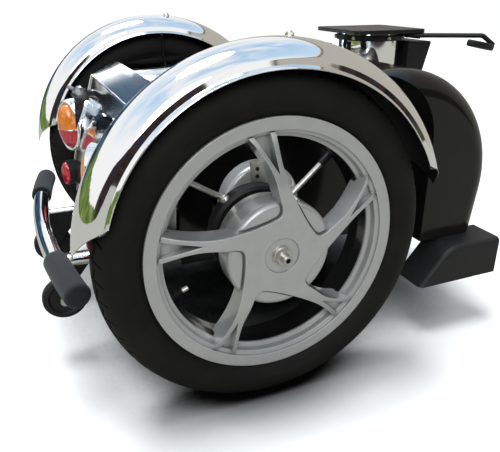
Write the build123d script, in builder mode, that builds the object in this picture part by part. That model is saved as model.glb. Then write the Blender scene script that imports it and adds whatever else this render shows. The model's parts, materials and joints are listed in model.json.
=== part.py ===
from build123d import *
from math import cos, pi, radians, sin, sqrt, tan
import os

# Rear drive section of a three-wheel electric scooter: wheels, axle, body, mudguards, tail and bumper.
# Sizes are in millimetres. The origin is the middle of the front flange's bolting face,
# +X points to the front of the vehicle, +Y to its left and +Z up.

# ---- driving dimensions -------------------------------------------------------------------
fit_gap = 0.3  # play between pieces that seat in each other
run_gap = 5.0  # play between pieces that move past each other

# where the axle lies, seen from the front flange
axle_x = -520.0
axle_z = 84.0
wheel_track = 725.6  # between the two wheels' middle planes

# tyre
tyre_radius = 288.0
tyre_half_width = 44.0
tyre_crown = 38.0  # height of the rounded crown
tyre_wall = 9.0
bead_half_width = 29.7

# cast rim
rim_radius = 217.0  # over the flanges
rim_half_width = 36.0
flange_width = 6.0
bead_seat_radius = 206.0
rim_face_radius = 197.0  # inner edge of the flat front face
rim_bore_radius = 181.0

# spokes and hub of the cast wheel, measured outwards from the wheel's middle plane
spoke_count = 5
spoke_lean = 39.5  # how far a spoke's middle line passes beside the wheel's centre
spoke_turn = 37.7  # direction of the first spoke, from the front over the top
spoke_waist = 18.0
spoke_rim_width = 44.0
spoke_back = 26.0
spoke_root = (26.5, 78.0)  # where a spoke's straight flank meets the rounded valley beside it
valley_radius = 15.0
valley_turn = 88.0  # degrees that the valley's corner turns
star_face = 57.0
star_radius = 64.0
star_plate = 16.0
groove_width = 3.5  # between the star and the raised pads on the hub
groove_depth = 5.0
drum_radius = 90.0
drum_face = 52.0
drum_round = 10.0
drum_depth = 43.0
drum_wall = 12.0
hub_boss_radius = 27.0
recess_radius = 30.0
recess_depth = 3.0

# axle shaft, its brake drum and its nut
shaft_radius = 12.0
stud_radius = 8.0
shaft_inner_end = 140.0  # distance from the middle of the vehicle
washer_radius = 17.0
washer_thickness = 2.5
nut_across_flats = 24.0
nut_height = 9.0
stud_length = 9.0  # what stands out of the nut
disc_radius = 78.0
disc_thickness = 12.0
disc_depth = 38.0
disc_rim = 10.0

# axle, differential, motor and brakes
axle_tube_radius = 32.0
shaft_clearance = 2.0  # round the shaft in its tube
differential_radius = 78.0
differential_half_width = 60.0
differential_end = 92.0
motor_radius = 50.0
motor_length = 124.0
case_radius = 71.5
case_offset = (20.0, 42.0)  # the brake case's middle, from the axle
case_boss_radius = 44.0
case_round = 8.0
case_inner_gap = 100.8  # from the wheel's middle plane to the case's inner end
case_outer_gap = 66.8
plate_radius = 84.0
plate_gap = 40.8  # from the wheel's middle plane to the brake plate's face
plate_bevel = 5.0

# frame
rail_size = 40.0
rail_wall = 3.0
rail_spread = 128.0  # from the middle of the vehicle to a rail's middle line
rail_overhang = 230.0  # how far the rails reach behind the axle
flange_width_y = 320.0
flange_height = 96.0
flange_thickness = 8.0
flange_bolt_spread = 200.0
flange_bolt_rise = 64.0
flange_hole_radius = 5.5
bracket_length = 84.0
bracket_width = 30.0
strap_thickness = 6.0

# mudguards
guard_lift = 12.6  # their centre lies this much over the axle
guard_clearance = 24.8  # from the tread to the crest
guard_overlap = 16.0  # how far the edges reach down past the tread
guard_half_width = 55.5  # over the lips
guard_sheet = 2.0
guard_lip = 8.0  # width of the turned-out lip along each edge
guard_lip_rise = 3.0
guard_blend = 100.0  # degrees from the front, where the flared front part begins
guard_flare = 24.0  # how much wider the front part's arc is
guard_front_tip = 12.0
guard_front_corner = 25.0
guard_rear_corner = 164.0
guard_rear_tip = 177.5
stay_radius = 5.0
# each stay: where its foot lies round the brake plate, its direction, and its end's distance from the axle
stay_lines = ((36.5, 41.0, 299.0), (130.0, 148.8, 287.0))

# body shell
shell_wall = 4.0
shell_half_width = 290.0
shell_waist_half_width = 198.0
shell_rear = -105.0  # from the axle
shell_slope = 3.3  # degrees that the top falls to the rear
shell_lean = 7.0  # degrees that the front wall leans back at its foot
nose_middle = (320.0, 20.0)  # middle of the arc that joins the top and the front, from the axle
nose_radius = 231.0
shell_round = 45.0  # rounding between the sides and the top
arch_middle = (255.0, 115.0)  # middle of the wheel arch's rounded corner, from the axle
arch_radius = 130.0
arch_start = 263.0  # where the arch leaves the top
lid_opening_half_width = 176.0

# sills, the ends of the floor beside the body's foot
sill_inner = 262.0  # from the middle of the vehicle
sill_outer = 340.0
sill_wall = 4.0
sill_rear = 358.0  # from the axle
sill_shoulder = 425.0
sill_front = 556.0
sill_height = 81.0
sill_bend = 60.0
sill_round = 10.0
crossbar_size = 30.0
crossbar_x = 470.0  # from the axle

# chrome deck and tail
deck_sheet = 3.0
deck_half_width = 204.0
deck_front = 62.0  # from the axle
deck_flange = 24.0
tail_sheet = 3.0
tail_half_width = 246.0
tail_foot_half_width = 212.0
tail_foot_gap = 2.0  # between the tail's foot and the rails

# lamps
lamp_spread = 205.0
lamp_turn = 35.0  # degrees that the lamps and reflectors face inward from the rear
lamp_height = 118.0
lamp_width = 62.0
lamp_middle = 97.0  # over the axle
lens_depth = 20.0
lens_rim = 5.0
lens_split = 74.0  # height of the joint between the lenses, over the axle
reflector_height = 54.0
reflector_width = 26.0
reflector_depth = 8.0
reflector_middle = -16.0  # over the axle

# bumper
bumper_clearance = 51.0  # behind the tread, at the bumper's middle
bumper_z = -56.0  # from the axle
bumper_half_width = 321.0
bumper_bow = 31.0
bumper_radius = 16.0
bumper_wall = 2.0
sleeve_radius = 23.0
sleeve_inner_end = 168.0
sleeve_cap = 7.0
arm_radius = 12.0
arm_collar_length = 40.0

# anti-tip wheels
antitip_setback = 18.0  # in front of the bumper's middle
antitip_z = -157.0
antitip_radius = 42.0
antitip_width = 24.0
antitip_bolt_radius = 5.0
antitip_plate = 6.0

# batteries
battery_length = 256.0
battery_height = 212.0
battery_rear = 96.0  # from the axle
tray_sheet = 4.0

# seat support
seat_x = 416.0  # from the axle
seat_drum_radius = 68.0
seat_post_radius = 29.0
seat_plate_height = 298.0  # over the axle
seat_plate_size = (180.0, 176.0)
seat_plate_thickness = 8.0
seat_lip = (4.0, 14.0)  # thickness and depth of the plate's turned-down front
spigot_radius = 20.0
seat_bolt_x = 140.0
seat_bolt_y = 140.0
seat_hole_radius = 4.5
seat_pin_radius = 13.5
seat_pin_x = -112.0  # from the seat's axis
seat_pin_top = 277.0  # over the axle
block_start = 66.0  # from the seat's axis
block_end = 129.0
block_half_width = 60.0
block_top = 278.0  # over the axle
lever_radius = 5.0
lever_y = -140.0
lever_reach = 236.0  # in front of the seat's axis
knob_drop = 20.0
knob_length = 76.0
knob_width = 30.0
knob_thickness = 14.0
knob_tilt = 11.0

# ---- planes and small helpers -------------------------------------------------------------
half_track = wheel_track / 2
guard_crest_radius = tyre_radius + guard_clearance
guard_edge_radius = tyre_radius - guard_overlap
bumper_x = -tyre_radius - bumper_clearance
antitip_x = bumper_x + antitip_setback
axle_tube_bore = shaft_radius + shaft_clearance
case_inner_end = half_track - case_inner_gap
case_outer_end = half_track - case_outer_gap
plate_face = half_track - plate_gap
rail_rear = axle_x - rail_overhang
rail_front = -flange_thickness
rail_top = rail_size / 2
crossbar_top = -rail_size / 2 - fit_gap
sill_top = crossbar_top + fit_gap + sill_wall
shell_floor = sill_top + fit_gap
axle = Axis((axle_x, 0, axle_z), (0, 1, 0))
# local x is the vehicle's front, local y is up, and the normal points to the right side
side = Plane(origin=(axle_x, 0, axle_z), x_dir=(1, 0, 0), z_dir=(0, -1, 0))
# a section through the axle: local x points to the right side, local y is the radius
section = Plane(origin=(axle_x, 0, axle_z), x_dir=(0, -1, 0), z_dir=(-1, 0, 0))
wheel_section = Plane(origin=(axle_x, -half_track, axle_z), x_dir=(0, -1, 0), z_dir=(-1, 0, 0))
# seen from behind: local x points to the right side, local y is up
rear = Plane(origin=(axle_x, 0, axle_z), x_dir=(0, -1, 0), z_dir=(-1, 0, 0))

os.makedirs("parts", exist_ok=True)


def save(part, name):
    """Label a finished piece and write it to its own file."""
    part.label = name
    export_step(part, f"parts/{name}.step")


def other_side(part):
    """The same piece on the left side of the vehicle."""
    with BuildPart() as copy:
        mirror(part, about=Plane.XZ)
    return copy.part


# ---- tyres --------------------------------------------------------------------------------
tyre_shoulder = tyre_radius - tyre_crown
tyre_foot = bead_seat_radius + fit_gap
inner_half_width = tyre_half_width - tyre_wall

with BuildPart() as tyre_right:
    with BuildSketch(wheel_section):
        with BuildLine():
            outer = ThreePointArc(
                (tyre_half_width, tyre_shoulder), (0, tyre_radius), (-tyre_half_width, tyre_shoulder)
            )
            left_wall = ThreePointArc(
                outer @ 1,
                (-tyre_half_width + 3, (tyre_shoulder + rim_radius) / 2 - 2),
                (-bead_half_width, rim_radius + 1),
            )
            left_bead = Polyline(
                left_wall @ 1,
                (-bead_half_width, tyre_foot),
                (-bead_half_width + tyre_wall, tyre_foot),
                (-bead_half_width + tyre_wall - 1, rim_radius + 4),
            )
            left_inside = Line(left_bead @ 1, (-inner_half_width, tyre_shoulder))
            crown = ThreePointArc(
                left_inside @ 1, (0, tyre_radius - tyre_wall), (inner_half_width, tyre_shoulder)
            )
            right_inside = Line(crown @ 1, (bead_half_width - tyre_wall + 1, rim_radius + 4))
            right_bead = Polyline(
                right_inside @ 1,
                (bead_half_width - tyre_wall, tyre_foot),
                (bead_half_width, tyre_foot),
                (bead_half_width, rim_radius + 1),
            )
            ThreePointArc(
                right_bead @ 1,
                (tyre_half_width - 3, (tyre_shoulder + rim_radius) / 2 - 2),
                outer @ 0,
            )
        make_face()
    revolve(axis=axle)
save(tyre_right.part, "tyre_right")
save(other_side(tyre_right.part), "tyre_left")

# ---- cast wheels: rim, hub drum and leaning spokes ----------------------------------------
hub_bore = shaft_radius + fit_gap
stud_bore = stud_radius + fit_gap
shoulder_u = star_face - recess_depth - star_plate  # where the shaft's shoulder stops
rim_end_y = sqrt(rim_face_radius**2 - spoke_lean**2)
waist_y = 0.61 * rim_end_y
spoke_step = 360.0 / spoke_count

root = Vector(*spoke_root)
valley = root.rotate(Axis.Z, -spoke_step) + Vector(0, valley_radius).rotate(Axis.Z, 90 - spoke_step)


def star_outline(grow):
    """The star of leaning arms with rounded valleys between them, its edges moved out by a width."""
    left = root - Vector(grow, 0)
    half_waist = spoke_waist / 2 + grow
    half_rim = spoke_rim_width / 2 + grow
    # one arm, pointing up beside the wheel's centre, with the valley on its right
    with BuildSketch() as arm:
        with BuildLine():
            tip_left = (spoke_lean - half_rim, rim_end_y)
            tip_right = (spoke_lean + half_rim, rim_end_y - 8)
            Spline(
                tip_left,
                (spoke_lean - half_waist, waist_y),
                left,
                tangents=((0.35, -1), (0, -1)),
            )
            Polyline(left, (0, 0), left.rotate(Axis.Z, -spoke_step))
            corner = CenterArc(valley, valley_radius - grow, -spoke_step, -valley_turn)
            Spline(
                corner @ 1,
                (spoke_lean + half_waist + spoke_waist / 4, 0.7 * root.Y),
                (spoke_lean + half_waist, waist_y),
                tip_right,
                tangents=(corner % 1, (0.3, 1)),
            )
            Line(tip_right, tip_left)
        make_face()
    with BuildSketch() as star:
        with PolarLocations(0, spoke_count, start_angle=spoke_turn - 90):
            add(arm.sketch)
    return star.sketch


with BuildPart() as spoke_star:
    # five leaning arms, drawn from the front
    with BuildSketch(side.offset(half_track + star_face - spoke_back - 32)):
        add(star_outline(0))
    extrude(amount=spoke_back + 32)
    # the arms fall from the hub's face to the rim and are hollowed behind
    with BuildSketch(wheel_section):
        with BuildLine():
            front = Spline(
                (star_face, 0),
                (star_face, star_radius),
                (star_face - 2, 110),
                (star_face - 10, 150),
                (rim_half_width - 5, rim_face_radius),
                tangents=((0, 1), (-1, 1.4)),
            )
            Polyline(
                front @ 1,
                (rim_half_width - 5, rim_face_radius + 2),
                (rim_half_width - 36, rim_face_radius + 2),
                (rim_half_width - 36, rim_bore_radius - 8),
                (star_face - 34, drum_radius),
                (star_face - star_plate, star_radius),
                (star_face - star_plate, 0),
                front @ 0,
            )
        make_face()
    revolve(axis=axle, mode=Mode.INTERSECT)
    # a three-cornered pocket forks each arm towards the rim
    with BuildSketch(side.offset(half_track + star_face)):
        with PolarLocations(0, spoke_count, start_angle=spoke_turn - 90):
            Polygon(
                (spoke_lean + 1, waist_y + 8),
                (spoke_lean + spoke_rim_width / 2 - 8, rim_end_y - 2),
                (spoke_lean - spoke_rim_width / 2 + 8, rim_end_y + 1),
                align=None,
            )
    extrude(amount=-34, mode=Mode.SUBTRACT)

with BuildPart() as wheel_right:
    with BuildSketch(wheel_section):
        # the rim: flat face and two steps in front, drop centre outside
        Polygon(
            (rim_half_width, rim_radius),
            (rim_half_width, rim_face_radius),
            (rim_half_width - 5, rim_face_radius),
            (rim_half_width - 7, rim_face_radius - 6),
            (rim_half_width - 18, rim_face_radius - 8),
            (rim_half_width - 20, rim_bore_radius + 2),
            (rim_half_width - 44, rim_bore_radius),
            (-rim_half_width, rim_bore_radius + 1),
            (-rim_half_width, rim_radius),
            (-rim_half_width + flange_width, rim_radius),
            (-rim_half_width + flange_width, bead_seat_radius),
            (-rim_half_width / 3, bead_seat_radius - 2),
            (-rim_half_width / 4, rim_face_radius - 3),
            (rim_half_width / 4, rim_face_radius - 3),
            (rim_half_width / 3, bead_seat_radius - 2),
            (rim_half_width - flange_width, bead_seat_radius),
            (rim_half_width - flange_width, rim_radius),
            align=None,
        )
        # the hub: a round-edged drum open at its back round a bored boss
        with BuildLine():
            face = Line((drum_face, 0), (drum_face, drum_radius - drum_round))
            edge = JernArc(face @ 1, (0, 1), drum_round, 90)
            Polyline(
                edge @ 1,
                (drum_face - drum_depth, drum_radius),
                (drum_face - drum_depth, drum_radius - drum_wall),
                (drum_face - drum_wall, drum_radius - drum_wall),
                (drum_face - drum_wall, hub_boss_radius),
                (drum_face - drum_depth, hub_boss_radius),
                (drum_face - drum_depth, 0),
                face @ 0,
            )
        make_face()
    revolve(axis=axle)
    # a groove round the star leaves a D-shaped pad in each valley
    with BuildSketch(side.offset(half_track + drum_face)):
        add(star_outline(groove_width))
    extrude(amount=-groove_depth, mode=Mode.SUBTRACT)
    add(spoke_star.part)
    with BuildSketch(side.offset(half_track + star_face - recess_depth)):
        Circle(recess_radius)
    extrude(amount=recess_depth, mode=Mode.SUBTRACT)
    with BuildSketch(side.offset(half_track + shoulder_u)):
        Circle(stud_bore)
    extrude(amount=star_plate, mode=Mode.SUBTRACT)
    with BuildSketch(side.offset(half_track + shoulder_u + fit_gap)):
        Circle(hub_bore)
    extrude(amount=-shoulder_u - drum_depth, mode=Mode.SUBTRACT)
save(wheel_right.part, "wheel_right")
save(other_side(wheel_right.part), "wheel_left")

# ---- axle shafts with brake drum, washer and nut ------------------------------------------
washer_u = star_face - recess_depth
nut_u = washer_u + washer_thickness
stud_tip_u = nut_u + nut_height + stud_length
disc_u = drum_face - drum_depth - fit_gap

with BuildPart() as shaft_right:
    with BuildSketch(side.offset(shaft_inner_end)):
        Circle(shaft_radius)
    extrude(amount=half_track + shoulder_u - shaft_inner_end)
    with BuildSketch(side.offset(half_track + shoulder_u)):
        Circle(stud_radius)
    extrude(amount=stud_tip_u - shoulder_u)
    with BuildSketch(side.offset(half_track + washer_u)):
        Circle(washer_radius)
    extrude(amount=washer_thickness)
    with BuildSketch(side.offset(half_track + nut_u)):
        RegularPolygon(nut_across_flats / 2, 6, major_radius=False)
    extrude(amount=nut_height)
    with BuildSketch(side.offset(half_track + disc_u)):
        Circle(disc_radius)
    extrude(amount=-disc_depth)
    with BuildSketch(side.offset(half_track + disc_u - disc_thickness)):
        Circle(disc_radius - disc_rim)
        Circle(shaft_radius, mode=Mode.SUBTRACT)
    extrude(amount=-disc_depth, mode=Mode.SUBTRACT)
save(shaft_right.part, "axle_shaft_right")
save(other_side(shaft_right.part), "axle_shaft_left")

# ---- rear axle: differential, tubes, brakes and motor -------------------------------------
with BuildPart() as differential:
    with BuildSketch(section):
        with BuildLine():
            bulge = ThreePointArc(
                (-differential_half_width, differential_radius - 14),
                (0, differential_radius),
                (differential_half_width, differential_radius - 14),
            )
            Polyline(
                bulge @ 1,
                (differential_end, axle_tube_radius + 8),
                (differential_end, axle_tube_bore),
                (-differential_end, axle_tube_bore),
                (-differential_end, axle_tube_radius + 8),
                bulge @ 0,
            )
        make_face()
    revolve(axis=axle)
    # the bolted joint between the two halves
    with BuildSketch(side.offset(-5)):
        Circle(differential_radius + 8)
        Circle(differential_radius - 8, mode=Mode.SUBTRACT)
    extrude(amount=10)
    # round seat for the motor behind
    with BuildSketch(rear.offset(differential_radius - 30)):
        Circle(motor_radius)
    extrude(amount=40)
save(differential.part, "differential_housing")

with BuildPart() as motor:
    with BuildSketch(rear.offset(differential_radius + 10)):
        Circle(motor_radius)
    extrude(amount=motor_length)
    fillet(motor.faces().sort_by(Axis.X)[0].edges(), 8)
save(motor.part, "drive_motor")

with BuildPart() as axle_tubes:
    with BuildSketch(side.offset(differential_end)):
        Circle(axle_tube_radius)
        Circle(axle_tube_bore, mode=Mode.SUBTRACT)
    extrude(amount=case_inner_end - differential_end)
    mirror(about=Plane.XZ)
save(axle_tubes.part, "axle_tubes")

with BuildPart() as brakes:
    # a round case that sits above and in front of the axle, with a boss round the shaft
    with BuildSketch(side.offset(case_inner_end)):
        with Locations(case_offset):
            Circle(case_radius)
        Circle(case_boss_radius)
    extrude(amount=case_outer_end - case_inner_end)
    fillet(brakes.faces().sort_by(Axis.Y)[0].edges(), case_round)
    with BuildSketch(side.offset(case_inner_end)):
        Circle(hub_bore)
    extrude(amount=case_outer_end - case_inner_end, mode=Mode.SUBTRACT)
    mirror(about=Plane.XZ)
save(brakes.part, "brake_housings")

with BuildPart() as brake_plates:
    # the bevelled plate that closes the wheel's brake drum and carries the stays
    with BuildSketch(section):
        Polygon(
            (case_outer_end, hub_bore),
            (case_outer_end, plate_radius),
            (plate_face - plate_bevel, plate_radius),
            (plate_face, plate_radius - plate_bevel),
            (plate_face, hub_bore),
            align=None,
        )
    revolve(axis=axle)
    mirror(about=Plane.XZ)
save(brake_plates.part, "brake_plates")

# ---- frame --------------------------------------------------------------------------------
rail_bore = rail_size - 2 * rail_wall

with BuildPart() as rail_right:
    with BuildSketch(Plane.YZ.offset(rail_rear)):
        with Locations((-rail_spread, 0)):
            RectangleRounded(rail_size, rail_size, 5)
            RectangleRounded(rail_bore, rail_bore, 2, mode=Mode.SUBTRACT)
    extrude(amount=rail_front - rail_rear)
save(rail_right.part, "frame_rail_right")
save(other_side(rail_right.part), "frame_rail_left")

with BuildPart() as flange:
    with BuildSketch(Plane.YZ.offset(-flange_thickness)):
        RectangleRounded(flange_width_y, flange_height, 12)
        with GridLocations(flange_bolt_spread, flange_bolt_rise, 2, 2):
            Circle(flange_hole_radius, mode=Mode.SUBTRACT)
    extrude(amount=flange_thickness)
save(flange.part, "front_flange")

cross_length = 2 * rail_spread - rail_size


def crossmember(middle_x):
    """A square tube between the rails."""
    with BuildPart() as tube:
        with BuildSketch(Plane.XZ.offset(-cross_length / 2)):
            with Locations((middle_x, 0)):
                Rectangle(rail_size, rail_size)
                Rectangle(rail_bore, rail_bore, mode=Mode.SUBTRACT)
        extrude(amount=cross_length)
    return tube.part


save(crossmember(rail_rear + 3 * rail_size / 2), "rear_crossmember")
save(crossmember(axle_x + seat_x), "seat_crossmember")

with BuildPart() as brackets:
    # a saddle on each rail and a strap over the axle tube
    with BuildSketch(side.offset(rail_spread - bracket_width / 2)):
        Polygon(
            (-bracket_length / 2, rail_top - axle_z),
            (bracket_length / 2, rail_top - axle_z),
            (axle_tube_radius + strap_thickness, 0),
            (-axle_tube_radius - strap_thickness, 0),
            align=None,
        )
        Circle(axle_tube_radius + strap_thickness)
        Circle(axle_tube_radius + fit_gap, mode=Mode.SUBTRACT)
    extrude(amount=bracket_width)
    mirror(about=Plane.XZ)
save(brackets.part, "axle_brackets")

# ---- batteries on their tray --------------------------------------------------------------
battery_x = axle_x + battery_rear + battery_length / 2

with BuildPart() as tray:
    with BuildSketch(Plane.XY.offset(rail_top)):
        with Locations((battery_x, 0)):
            Rectangle(battery_length + 24, 2 * rail_spread + rail_size)
    extrude(amount=tray_sheet)
    with BuildSketch(Plane.XY.offset(rail_top)):
        with Locations((battery_x, 0)):
            Rectangle(battery_length + 24, 2 * rail_spread + rail_size)
            Rectangle(
                battery_length + 24 - 2 * tray_sheet,
                2 * rail_spread + rail_size - 2 * tray_sheet,
                mode=Mode.SUBTRACT,
            )
    extrude(amount=24)
save(tray.part, "battery_tray")

with BuildPart() as battery:
    with BuildSketch(Plane.XY.offset(rail_top + tray_sheet)):
        with Locations((battery_x, 0)):
            RectangleRounded(battery_length, 2 * rail_spread + 20, 10)
    extrude(amount=battery_height)
save(battery.part, "battery_pack")

# ---- mudguards with tongue-shaped ends ----------------------------------------------------
guard_crown = guard_crest_radius - guard_edge_radius
guard_crease = guard_half_width - guard_lip
crease_radius = guard_edge_radius + guard_sheet + guard_lip_rise


def outward(angle):
    """The direction at an angle from the front over the top, in the wheel's plane."""
    return Vector(cos(radians(angle)), 0, sin(radians(angle)))


def guard_middle(flare):
    """The middle of the mudguard's arc, which a flare moves so that the arcs join smoothly."""
    return Vector(axle_x, -half_track, axle_z + guard_lift) - outward(guard_blend) * flare


def guard_band(flare, start, end):
    """The crowned sheet with its lips between two angles, on an arc that is wider by the flare."""
    middle = guard_middle(flare)
    out = outward(start)
    across = Plane(origin=middle + out * flare, x_dir=(0, -1, 0), z_dir=(-out.Z, 0, out.X))
    inner_crease = guard_crease - guard_sheet
    with BuildPart() as band:
        with BuildSketch(across):
            with BuildLine():
                top = ThreePointArc(
                    (guard_crease, crease_radius),
                    (0, guard_crest_radius),
                    (-guard_crease, crease_radius),
                )
                left_lip = Polyline(
                    top @ 1,
                    (-guard_half_width, guard_edge_radius + guard_sheet),
                    (-guard_half_width, guard_edge_radius),
                    (-inner_crease, crease_radius - guard_sheet),
                )
                under = ThreePointArc(
                    left_lip @ 1,
                    (0, guard_crest_radius - guard_sheet),
                    (inner_crease, crease_radius - guard_sheet),
                )
                Polyline(
                    under @ 1,
                    (guard_half_width, guard_edge_radius),
                    (guard_half_width, guard_edge_radius + guard_sheet),
                    top @ 0,
                )
            make_face()
        revolve(axis=Axis(middle, (0, -1, 0)), revolution_arc=end - start)
    return band.part


with BuildPart() as mudguard_right:
    add(guard_band(guard_flare, guard_front_tip, guard_blend))
    add(guard_band(0, guard_blend, guard_rear_tip))
    for flare, tip, corner, up in (
        (guard_flare, guard_front_tip, guard_front_corner, -1),
        (0, guard_rear_tip, guard_rear_corner, 1),
    ):
        tongue = abs(tip - corner) * pi / 180 * (guard_edge_radius + flare)
        wide = guard_half_width + 2
        crest = guard_middle(flare) + outward(tip) * (guard_crest_radius + flare)
        with BuildSketch(Plane(origin=crest, x_dir=(0, -1, 0), z_dir=outward(tip))):
            for hand in (-1, 1):
                Polygon(
                    (0, -up * 1),
                    (hand * wide, up * tongue * wide / guard_half_width),
                    (hand * wide, -up * guard_crown),
                    (0, -up * guard_crown),
                    align=None,
                )
        extrude(amount=2 * guard_crown, both=True, mode=Mode.SUBTRACT)
save(mudguard_right.part, "mudguard_right")
save(other_side(mudguard_right.part), "mudguard_left")

# two rods each side carry a mudguard from the brake plate
stay_y = half_track - guard_half_width - stay_radius - fit_gap

with BuildPart() as stays:
    for foot_angle, direction, end_distance in stay_lines:
        foot = outward(foot_angle) * plate_radius
        out = outward(direction)
        along = foot.dot(out)
        reach = sqrt(along**2 + end_distance**2 - plate_radius**2) - along
        with BuildSketch(
            Plane(origin=foot + Vector(axle_x, -stay_y, axle_z), x_dir=(0, 1, 0), z_dir=out)
        ):
            Circle(stay_radius)
        extrude(amount=reach)
        # the rod's foot is bent down onto the plate's rim
        with BuildSketch(side.offset(stay_y - stay_radius)):
            with Locations((foot.X, foot.Z)):
                Circle(stay_radius)
        extrude(amount=2 * stay_radius)
    with BuildSketch(side.offset(case_outer_end)):
        Circle(plate_radius + fit_gap)
    extrude(amount=plate_face - case_outer_end, mode=Mode.SUBTRACT)
    mirror(about=Plane.XZ)
save(stays.part, "mudguard_stays")

# ---- body shell round the batteries -------------------------------------------------------
arch_wall = arch_middle[0] + arch_radius  # the wheel well's front wall, from the axle


def shell_height(x):
    """Height of the sloping top over the axle, at a distance in front of the axle."""
    rise = nose_radius / cos(radians(shell_slope))
    return nose_middle[1] + rise - (nose_middle[0] - x) * tan(radians(shell_slope))


def shell_form(inset, floor):
    """The shell's outline, drawn in by an inset and cut off at a floor height over the origin."""
    bottom = floor - axle_z
    middle = Vector(*nose_middle)
    bend = nose_radius - inset
    drop = inset / cos(radians(shell_slope))
    with BuildPart() as form:
        with BuildSketch(side):
            with BuildLine():
                nose = ThreePointArc(
                    middle + Vector(bend, 0).rotate(Axis.Z, 90 + shell_slope),
                    middle + Vector(bend, 0).rotate(Axis.Z, 45),
                    middle + Vector(bend, 0).rotate(Axis.Z, -shell_lean),
                )
                foot_x = (nose @ 1).X - ((nose @ 1).Y - bottom) * tan(radians(shell_lean))
                Polyline(
                    nose @ 1,
                    (foot_x, bottom),
                    (shell_rear, bottom),
                    (shell_rear, shell_height(shell_rear) - drop),
                    nose @ 0,
                )
            make_face()
        extrude(amount=shell_half_width - inset, both=True)
        # the sides round over into the top and the front
        outline = form.faces().filter_by(Axis.Y).edges()
        fillet(
            outline.filter_by(Axis.Z, reverse=True).filter_by(Axis.X, reverse=True),
            shell_round - inset,
        )
        # narrow between the wheels, with a wheel well on each side
        start = arch_start + inset
        bend = arch_radius + inset
        start_z = arch_middle[1] + sqrt(bend**2 - (start - arch_middle[0]) ** 2)
        for hand in (-1, 1):
            with BuildSketch(side.offset(hand * (shell_waist_half_width - inset))):
                with BuildLine():
                    arch = ThreePointArc(
                        (start, start_z),
                        Vector(*arch_middle) + Vector(bend, 0).rotate(Axis.Z, 45),
                        (arch_wall + inset, arch_middle[1]),
                    )
                    Polyline(
                        arch @ 1,
                        (arch_wall + inset, bottom - 1),
                        (shell_rear - 1, bottom - 1),
                        (shell_rear - 1, start_z + nose_radius),
                        (start, start_z + nose_radius),
                        arch @ 0,
                    )
                make_face()
            extrude(amount=hand * shell_half_width, mode=Mode.SUBTRACT)
    return form.part


slot_half_width = axle_tube_radius + 8

with BuildPart() as body_shell:
    add(shell_form(0, shell_floor))
    add(shell_form(shell_wall, shell_floor - 20), mode=Mode.SUBTRACT)
    # open behind, under the tail
    rear_opening = shell_height(shell_rear) - 4 * shell_wall - (shell_floor - axle_z)
    with BuildSketch(Plane.YZ.offset(axle_x + shell_rear - 1)):
        with Locations((0, shell_floor + rear_opening / 2)):
            Rectangle(2 * (shell_waist_half_width - shell_wall), rear_opening)
    extrude(amount=shell_wall + 2, mode=Mode.SUBTRACT)
    # the top opening that the deck closes
    with BuildSketch(Plane.XY.offset(axle_z + shell_height(shell_rear) - 26)):
        with Locations((axle_x + (shell_rear + deck_front) / 2, 0)):
            RectangleRounded(deck_front - shell_rear - 30, 2 * lid_opening_half_width, 12)
    extrude(amount=60, mode=Mode.SUBTRACT)
    # slots for the axle tubes
    slot_drop = axle_z - shell_floor + 1
    with BuildSketch(side):
        Circle(slot_half_width)
        with Locations((0, -slot_drop / 2)):
            Rectangle(2 * slot_half_width, slot_drop)
    extrude(amount=shell_half_width, both=True, mode=Mode.SUBTRACT)
    # the front wall ends over the flange, so that a floor frame can meet it
    with BuildSketch(Plane.YZ.offset(axle_x + arch_wall + shell_round)):
        with Locations((0, -20)):
            Rectangle(2 * shell_waist_half_width, flange_height + 60)
    extrude(amount=shell_half_width, mode=Mode.SUBTRACT)
    # the hole for the seat post
    with BuildSketch(Plane.XY.offset(axle_z)):
        with Locations((axle_x + seat_x, 0)):
            Circle(seat_post_radius + fit_gap)
    extrude(amount=seat_plate_height, mode=Mode.SUBTRACT)
save(body_shell.part, "body_shell")

# ---- sills and the crossbar that carries them ---------------------------------------------
sill_level = sill_top - axle_z


def sill_profile(drop, reach):
    """A sill's outline from the side, with its open foot and front end drawn out for the hollow."""
    run = (sill_shoulder - sill_rear) * (sill_height + drop) / sill_height
    with BuildSketch() as profile:
        with BuildLine():
            top = FilletPolyline(
                (sill_shoulder - run, sill_level - sill_height - drop),
                (sill_shoulder, sill_level),
                (sill_front + reach, sill_level),
                radius=sill_bend,
            )
            Polyline(top @ 1, (sill_front + reach, sill_level - sill_height - drop), top @ 0)
        make_face()
    return profile.sketch


with BuildPart() as sill_right:
    with BuildSketch(side.offset(sill_inner)):
        add(sill_profile(0, 0))
    extrude(amount=sill_outer - sill_inner)
    outer_edges = sill_right.faces().sort_by(Axis.Y)[0].edges()
    fillet(outer_edges.filter_by(Axis.Z, reverse=True).sort_by(Axis.Z)[1:], sill_round)
    with BuildSketch(side.offset(sill_inner)):
        add(sill_profile(4 * sill_wall, 4 * sill_wall))
        offset(amount=-sill_wall, mode=Mode.REPLACE)
    extrude(amount=sill_outer - sill_inner - sill_wall, mode=Mode.SUBTRACT)
save(sill_right.part, "sill_right")
save(other_side(sill_right.part), "sill_left")

with BuildPart() as crossbar:
    with BuildSketch(side.offset(sill_wall + fit_gap - sill_outer)):
        with Locations((crossbar_x, crossbar_top - crossbar_size / 2 - axle_z)):
            Rectangle(crossbar_size, crossbar_size)
            Rectangle(
                crossbar_size - 2 * rail_wall, crossbar_size - 2 * rail_wall, mode=Mode.SUBTRACT
            )
    extrude(amount=2 * (sill_outer - sill_wall - fit_gap))
save(crossbar.part, "floor_crossbar")

# ---- chrome deck behind the seat ----------------------------------------------------------
deck_rear = shell_rear - 13
deck_low = shell_height(shell_rear) + fit_gap
deck_high = shell_height(deck_front) + fit_gap

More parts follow.
